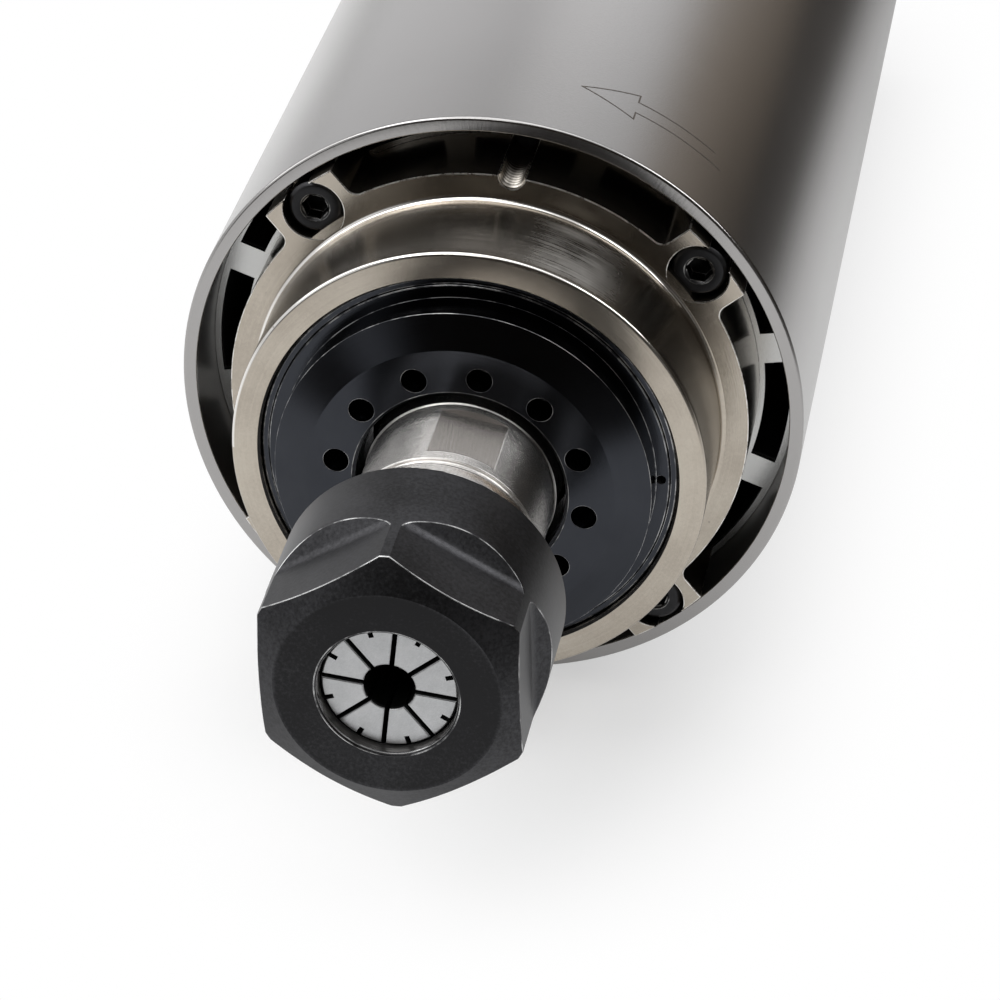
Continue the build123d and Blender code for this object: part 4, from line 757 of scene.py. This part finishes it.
outline += [
    (THREAD_R, turn_y + 0.6), (THREAD_R, THREAD_END, 0.12), (NECK_R, THREAD_END + 1.0, 0.1), (NECK_R, NECK_END, 0.15),
    (NOSE_R, NECK_END, 0.18), (NOSE_R, FLAT_FRONT - 0.25), (NOSE_R, FLAT_REAR + 0.25), (NOSE_R, COLLAR_Y),
    (COLLAR_R, COLLAR_Y + 0.15), (COLLAR_R, -18.6), (BEARING_R, -18.05), (BEARING_R, 7.4),
    (SHOULDER_R, 7.4, 0.3), (SHOULDER_R, 14.4, 0.3), (ROTOR_R, 14.4), (ROTOR_R, 115.0, 0.3),
    (RELIEF_R, 115.0), (RELIEF_R, 133.0, 0.3), (REAR_BEARING_R, 133.0), (REAR_BEARING_R, 145.0, 0.3),
    (FAN_SEAT_R, 145.0), (FAN_SEAT_R, 162.4, 0.2), (FAN_SCREW_R, 162.4), (FAN_SCREW_R, 153.0), (0, 151.8),
    (0, -13.4), (DRAW_BORE_R, -16.6), (DRAW_BORE_R, -41.4), (TAPER_MOUTH_R, -43.0), (TAPER_MOUTH_R, -43.4),
]
shaft = lathe(outline, 160)
flat = around(block(NOSE_R - FLAT_DEPTH, 16.0, 40.0, FLAT_FRONT, FLAT_REAR), 2, FLAT_ANGLE)
shaft = carve(shaft, flat)
ground = Finish("ground_steel")
radius, angle, along = ground.turned_place()
coords, _ = ground.place()
wheel = ground.noise(ground.vector(radius * 6.0, angle * 1.2, along * 6.0), 1.0, 3.0, 0.6)
mottle = ground.noise(coords, 1400.0, 2.0, 0.5)
tint = ground.noise(coords, 110.0, 3.0, 0.5)
rusty = along.band(-47.6, -46.4, 0.4) * tint.step(0.35, 0.6)
flats = (1.0 - radius.step(NOSE_R - 0.08, NOSE_R - 0.03)) * along.band(FLAT_FRONT, FLAT_REAR, 0.02)
wheeled = (wheel * 0.3 + tint * 0.4 + mottle * 0.3).clamp() * (1.0 - flats)
steel = ground.mix(wheeled, (0.38, 0.358, 0.338), (0.88, 0.87, 0.85))
ground.set(
    Metallic=1.0,
    Base_Color=ground.mix(rusty * 0.7, steel, (0.42, 0.30, 0.19)),
    Roughness=(0.20 + mottle * 0.03 + wheel * 0.06).clamp(),
)
GRINDING_PITCH, GRINDING_DEPTH = 0.23, 0.000014
grinding = along * (2 * pi / GRINDING_PITCH)
ground.bump(grinding.math("SINE", grinding), 1.0, GRINDING_DEPTH)
show("shaft_turned", shaft, [ground], "rotor", ["spindle_shaft"], crease=12)

# Collet. Spring steel, hardened and ground, slit eight times from its face and eight times
# from its tail, so that it closes evenly on a 6 mm shank. It snaps into the nut's eccentric web.
FACE_Y, CONE_END_Y, GROOVE_Y, TAPER_Y, TAIL_Y = -74.9, -70.05, -69.75, -67.85, -43.4
FACE_R, COLLET_R, GROOVE_R, TAIL_R, SHANK_R = 7.7, 10.5, 9.2, 6.96, 3.0
SLIT, SLIT_BREAK, SLIT_REACH, SLIT_ANGLE = 0.6, 0.09, 14.0, -6.0
collet = lathe([
    (SHANK_R, FACE_Y + 0.1), (SHANK_R + 0.1, FACE_Y), (FACE_R, FACE_Y, 0.08), (COLLET_R, CONE_END_Y, 0.1),
    (COLLET_R, GROOVE_Y, 0.05), (GROOVE_R, GROOVE_Y), (GROOVE_R, TAPER_Y), (COLLET_R - 0.1, TAPER_Y, 0.05),
    (TAIL_R, TAIL_Y, 0.3), (SHANK_R, TAIL_Y),
], 128)
face_slits = block(0.0, SLIT_REACH, SLIT, FACE_Y - 1, TAIL_Y - 5)
broken = block(0.0, SLIT_REACH, SLIT + 2 * SLIT_BREAK, FACE_Y - 1, FACE_Y + SLIT_BREAK)
collet = carve(collet, around(carve(face_slits, broken, "UNION"), 8, SLIT_ANGLE))
tail_slits = block(0.0, SLIT_REACH, SLIT, FACE_Y + 5, TAIL_Y + 1)
nicks = block(FACE_R - 0.95, SLIT_REACH, SLIT, FACE_Y - 1, TAIL_Y - 0.5)
collet = carve(collet, around(carve(tail_slits, nicks, "UNION"), 8, SLIT_ANGLE + 22.5))
sprung = Finish("collet_steel")
radius, _, along = sprung.turned_place()
coords, (x, y, z) = sprung.place()
scratch = sprung.noise(sprung.vector(x * 2.2 + z * 2.2, y * 2.0, z * 16.0 - x * 16.0), 1.0, 3.0, 0.7)
cloud = sprung.noise(coords, 420.0, 3.0, 0.6)
# Painted shade: the collet is coloured darker in its bore, and behind the first millimetre of its face, in the slits
# and inside the nut.
collet_bore_shade = 1.0 - radius.step(SHANK_R, SHANK_R + 0.3)
sunk = along.step(FACE_Y + 0.15, FACE_Y + 0.9)
lapped = sprung.mix((scratch * 0.65 + cloud * 0.35).step(0.3, 0.7), (0.36, 0.365, 0.37), (0.52, 0.525, 0.53))
sprung.set(
    Metallic=1.0,
    Base_Color=sprung.mix((sunk * 0.8 + collet_bore_shade * 0.4).clamp(), lapped, (0.10, 0.097, 0.093)),
    Roughness=(0.26 + scratch * 0.12 + cloud * 0.06).clamp(),
)
sprung.bump(scratch, 0.12, 0.0002)
show("collet_sprung", collet, [sprung], "collet_body", ["collet"], crease=14)

# Collet nut. Steel in matt black oxide: a hexagon in front whose flats run out in a round collar.
# Handling has rubbed its edges bright. An eccentric web inside it carries the collet.
NUT_FRONT, NUT_REAR, NUT_R, NUT_FLAT_R, NUT_FACE_R = -76.4, -54.5, 17.0, 15.0, 13.2
FLAT_END, RUNOUT_FILLET, OPENING_R, HEX_ANGLE = -67.0, 0.8, 8.1, 1.5
NUT_THREAD_R, WEB_R, CHAMBER_R, WEB_REAR, WEB_FRONT = 12.58, 10.3, 10.66, -68.3, -69.3
nut = lathe([
    (OPENING_R + 0.3, NUT_FRONT), (NUT_FACE_R, NUT_FRONT), (NUT_R, NUT_FRONT + 2.2), (NUT_R, -64.3),
    (NUT_R, -62.5), (NUT_R, -59.0), (NUT_R, NUT_REAR - 0.4, 0.1), (NUT_R - 0.4, NUT_REAR, 0.1),
    (13.2, NUT_REAR), (NUT_THREAD_R, NUT_REAR - 0.8), (NUT_THREAD_R, WEB_REAR), (WEB_R, WEB_REAR),
    (WEB_R, WEB_FRONT), (CHAMBER_R, WEB_FRONT), (CHAMBER_R, CONE_END_Y), (OPENING_R, CONE_END_Y - 4.43),
    (OPENING_R, NUT_FRONT + 0.3),
], 192)
wedge = bmesh.new()
runout = [wedge.verts.new(Vector((px, py, -20)) * MM) for px, py in (
    (NUT_FLAT_R, NUT_FRONT - 1), (NUT_FLAT_R, FLAT_END), (NUT_FLAT_R + 4, FLAT_END + 4),
    (NUT_FLAT_R + 4, NUT_FRONT - 1),
)]
wedge.faces.new(runout)
bmesh.ops.bevel(wedge, geom=[runout[1]], offset=RUNOUT_FILLET * MM, offset_type="OFFSET", segments=5, profile=0.5,
                affect="VERTICES", material=-1, clamp_overlap=True)
push(wedge, z=40.0)
for i in range(6):
    nut = carve(nut, around(wedge.copy(), 1, HEX_ANGLE + 60 * i))
wedge.free()
worn = lambda edge: not at_r(edge, NUT_FACE_R) and abs((edge.verts[1].co - edge.verts[0].co).normalized().y) < 0.9
nut = soften(nut, 0.09, finish=1, sharp=16, pick=worn)
matt = Finish("black_oxide")
radius, angle, along = matt.turned_place()
coords, _ = matt.place()
fine = matt.noise(coords, 2200.0, 3.0, 0.7)
patch = matt.noise(coords, 70.0, 4.0, 0.55)
rings = matt.noise(matt.vector(radius * 5.0, angle * 1.0, along * 5.0), 1.0, 3.0, 0.6)
bare = (1.0 - radius.step(OPENING_R + 0.06, OPENING_R + 0.12)) * (1.0 - along.step(-72.5, -72.0))
front = (1.0 - along.step(NUT_FRONT + 0.02, NUT_FRONT + 0.3)) * (1.0 - radius.step(NUT_FACE_R - 0.5, NUT_FACE_R + 0.1))
shade = (fine * 0.5 + patch * 0.5 - front * 0.16).step(0.3, 0.7)
blackened = matt.mix(shade, (0.018, 0.018, 0.019), (0.058, 0.058, 0.062))
bared = matt.mix(rings, (0.16, 0.155, 0.15), (0.42, 0.41, 0.40))
matt.set(
    Metallic=0.9,
    Base_Color=matt.mix(bare, blackened, bared),
    Roughness=(0.32 + fine * 0.10 + patch * 0.05 - bare * 0.1).clamp(),
)
matt.bump(fine * 0.7 + rings * 0.3, 0.08, 0.0002)
sheen_and_rubbed_edge = Finish("rubbed_edge")
coords, _ = sheen_and_rubbed_edge.place()
rub = sheen_and_rubbed_edge.noise(coords, 260.0, 4.0, 0.65)
sheen_and_rubbed_edge.set(Metallic=0.9, Roughness=0.26,
           Base_Color=sheen_and_rubbed_edge.mix(rub.step(0.40, 0.62), (0.05, 0.05, 0.052), (0.50, 0.50, 0.50)))
show("collet_nut_body", nut, [matt, sheen_and_rubbed_edge], "nut_body", ["collet_nut"], crease=14)


# Stator and rotor. Stacked laminations with varnished copper windings, and a rotor of laminations
# with a cast aluminium cage. They are sealed inside the housing and keep their own shapes.
def dress(finish, *nodes):
    """Gives CAD nodes that keep their own shape a finish."""
    for name in nodes:
        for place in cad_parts[name].material_slots:
            place.material = finish.material


sheet = Finish("lamination")
_, (x, y, z) = sheet.place()
edges = sheet.noise(sheet.vector(x * 0.02, y * 4.0, z * 0.02), 1.0, 1.0, 0.5)
sheet.set(Metallic=0.9, Roughness=0.45 + edges * 0.1,
          Base_Color=sheet.mix(edges, (0.13, 0.13, 0.135), (0.26, 0.26, 0.27)))
dress(sheet, "stator_core", "rotor_core")
copper = Finish("copper_winding")
radius, angle, along = copper.turned_place()
wires = copper.noise(copper.vector(radius * 3.0, angle * 90.0, along * 0.4), 1.0, 2.0, 0.5)
copper.set(Metallic=0.8, Roughness=0.3, Coat_Weight=0.3,
           Base_Color=copper.mix(wires, (0.42, 0.17, 0.08), (0.74, 0.36, 0.18)))
copper.bump(wires, 0.3, 0.0005)
dress(copper, "stator_winding")
cast = Finish("cast_aluminium")
radius, angle, along = cast.turned_place()
coords, _ = cast.place()
skin_grain = cast.noise(coords, 1300.0, 4.0, 0.65)
lines = cast.noise(cast.vector(radius * 6.0, angle * 1.0, along * 6.0), 1.0, 3.0, 0.6)
cast.set(Metallic=1.0, Roughness=(0.34 + skin_grain * 0.14).clamp(),
         Base_Color=cast.mix((skin_grain * 0.5 + lines * 0.5).clamp(), (0.44, 0.44, 0.445), (0.62, 0.62, 0.62)))
cast.bump(lines * 0.6 + skin_grain * 0.4, 0.08, 0.0002)
dress(cast, "rotor_cage", "rear_housing")
dress(oxide, "rear_housing_screws", "fan_screw")

# Bearings. Hardened steel rings and balls, polished, with machined brass cages. Two take the
# load behind the nose. The one at the rear is pushed forward by a wave spring.
def grained(name, scale, low, high, roughness, spread, metallic=1.0, grit=0.6):
    """A finish with one fine grain in two shades; gives the grain too."""
    finish = Finish(name)
    coords, _ = finish.place()
    grain = finish.noise(coords, scale, 3.0, grit)
    finish.set(Metallic=metallic, Roughness=roughness + grain * spread, Base_Color=finish.mix(grain, low, high))
    return finish, grain


polished, _ = grained("bearing_steel", 800.0, (0.58, 0.58, 0.59), (0.72, 0.72, 0.73), 0.08, 0.08)
brass, _ = grained("cage_brass", 600.0, (0.60, 0.44, 0.19), (0.74, 0.58, 0.30), 0.25, 0.12)
for bearing in ("front_bearing_a", "front_bearing_b", "rear_bearing"):
    dress(polished, bearing + "_outer_ring", bearing + "_inner_ring", bearing + "_balls")
    dress(brass, bearing + "_cage")
dress(polished, "wave_spring", "fan_washer")

# Fan. Moulded in black glass-filled nylon, with cambered blades on a hub that a screw clamps
# on the shaft's end. It shows through the windows of the rear cover.
nylon, fibres = grained("fan_plastic", 1500.0, (0.018, 0.018, 0.019), (0.05, 0.05, 0.052), 0.5, 0.12,
                        metallic=0.0, grit=0.7)
nylon.bump(fibres, 0.15, 0.0002)
dress(nylon, "fan")

# Rear cover. Turned from aluminium, with a skirt inside the tube and twelve air windows
# around a solid middle that carries the power connector. Four countersunk screws hold it.
COVER_REAR, SKIRT_R, SKIRT_INNER_R, SKIRT_FRONT = 184.0, 38.15, 35.25, 168.0
CONNECTOR_R, WINDOW_R, WINDOW_FLARE_R, WINDOW_CIRCLE_R, WINDOW_HALF = 7.8, 2.5, 3.8, 25.0, 5.5
COVER_SOCKET_R, COVER_SOCKET_END = 1.0 / cos(radians(30)), 38.6
cover = lathe([
    (CONNECTOR_R + FIT, TUBE_REAR), (SKIRT_INNER_R, TUBE_REAR, 0.6), (SKIRT_INNER_R, SKIRT_FRONT),
    (SKIRT_R, SKIRT_FRONT, 0.3), (SKIRT_R, TUBE_REAR), (TUBE_R, TUBE_REAR, 0.1),
    (TUBE_R, COVER_REAR - 1.5, 0.3), (TUBE_R - 1.5, COVER_REAR, 0.3), (CONNECTOR_R + FIT, COVER_REAR),
])
window = lathe([
    (0, TUBE_REAR - 2), (WINDOW_R, TUBE_REAR - 2), (WINDOW_R, COVER_REAR - 0.3),
    (WINDOW_FLARE_R, COVER_REAR + 1.0), (0, COVER_REAR + 1.0),
], 32)
around(window, 1, 180 / 32)
for vert in window.verts:
    vert.co.x += (WINDOW_HALF if vert.co.x > 0 else -WINDOW_HALF) * MM
cover = carve(cover, around(move(window, x=WINDOW_CIRCLE_R), 12))
cover = carve(cover, around(cover_screw(FIT), 4, SCREW_ANGLE))
show("rear_cover_turned", cover, [cast], "motor_body", ["rear_cover"])
socket = lathe([(0, 43), (COVER_SOCKET_R, 43), (COVER_SOCKET_R, COVER_SOCKET_END), (0, COVER_SOCKET_END - 0.4)], 6)
screws = around(carve(cover_screw(), inwards(socket, COVER_SCREW_Y)), 4, SCREW_ANGLE)
show("cover_screws_sunk", screws, [oxide], "motor_body", ["rear_cover_screws"])

# Power connector. A nickel-plated shell with a fine outer thread for the cable plug's ring, held
# from inside by a hexagon nut, with four pins in a black moulded insert. Four leads run to it.
MOUTH_Y, SHELL_FRONT, SHELL_ROOT_R, SHELL_BORE_R = 196.0, 169.0, 7.45, 6.7
SHELL_FLANGE_R, SHELL_FLANGE, SHELL_PITCH = 10.5, 2.0, 1.0
outline = [
    (SHELL_BORE_R, SHELL_FRONT), (CONNECTOR_R, SHELL_FRONT, 0.2), (CONNECTOR_R, COVER_REAR),
    (SHELL_FLANGE_R, COVER_REAR, 0.15), (SHELL_FLANGE_R, COVER_REAR + SHELL_FLANGE, 0.3),
    (SHELL_ROOT_R, COVER_REAR + SHELL_FLANGE), (SHELL_ROOT_R, COVER_REAR + SHELL_FLANGE + 0.6),
]
turn_y = COVER_REAR + SHELL_FLANGE + 0.6
while turn_y < MOUTH_Y - 1.2:
    outline += [(CONNECTOR_R, turn_y + 0.45), (CONNECTOR_R, turn_y + 0.55), (SHELL_ROOT_R, turn_y + SHELL_PITCH)]
    turn_y += SHELL_PITCH
outline += [(SHELL_ROOT_R, MOUTH_Y - 0.15), (SHELL_ROOT_R - 0.15, MOUTH_Y), (SHELL_BORE_R, MOUTH_Y, 0.15)]
shell = lathe(outline, 96)
plated, _ = grained("plated_shell", 700.0, (0.52, 0.51, 0.49), (0.66, 0.65, 0.62), 0.2, 0.1)
show("connector_shell_threaded", shell, [plated], "motor_body", ["connector_shell"])
dress(plated, "connector_nut")
moulded, fine = grained("black_plastic", 1800.0, (0.02, 0.02, 0.021), (0.045, 0.045, 0.046), 0.42, 0.12,
                        metallic=0.0)
moulded.bump(fine, 0.1, 0.0001)
dress(moulded, "connector_insert")
contact, _ = grained("contact_brass", 900.0, (0.66, 0.50, 0.20), (0.80, 0.64, 0.32), 0.18, 0.1)
dress(contact, "connector_pins")
sleeving, _ = grained("lead_sleeving", 1200.0, (0.36, 0.035, 0.025), (0.50, 0.06, 0.045), 0.5, 0.1, metallic=0.0)
dress(sleeving, "motor_leads")
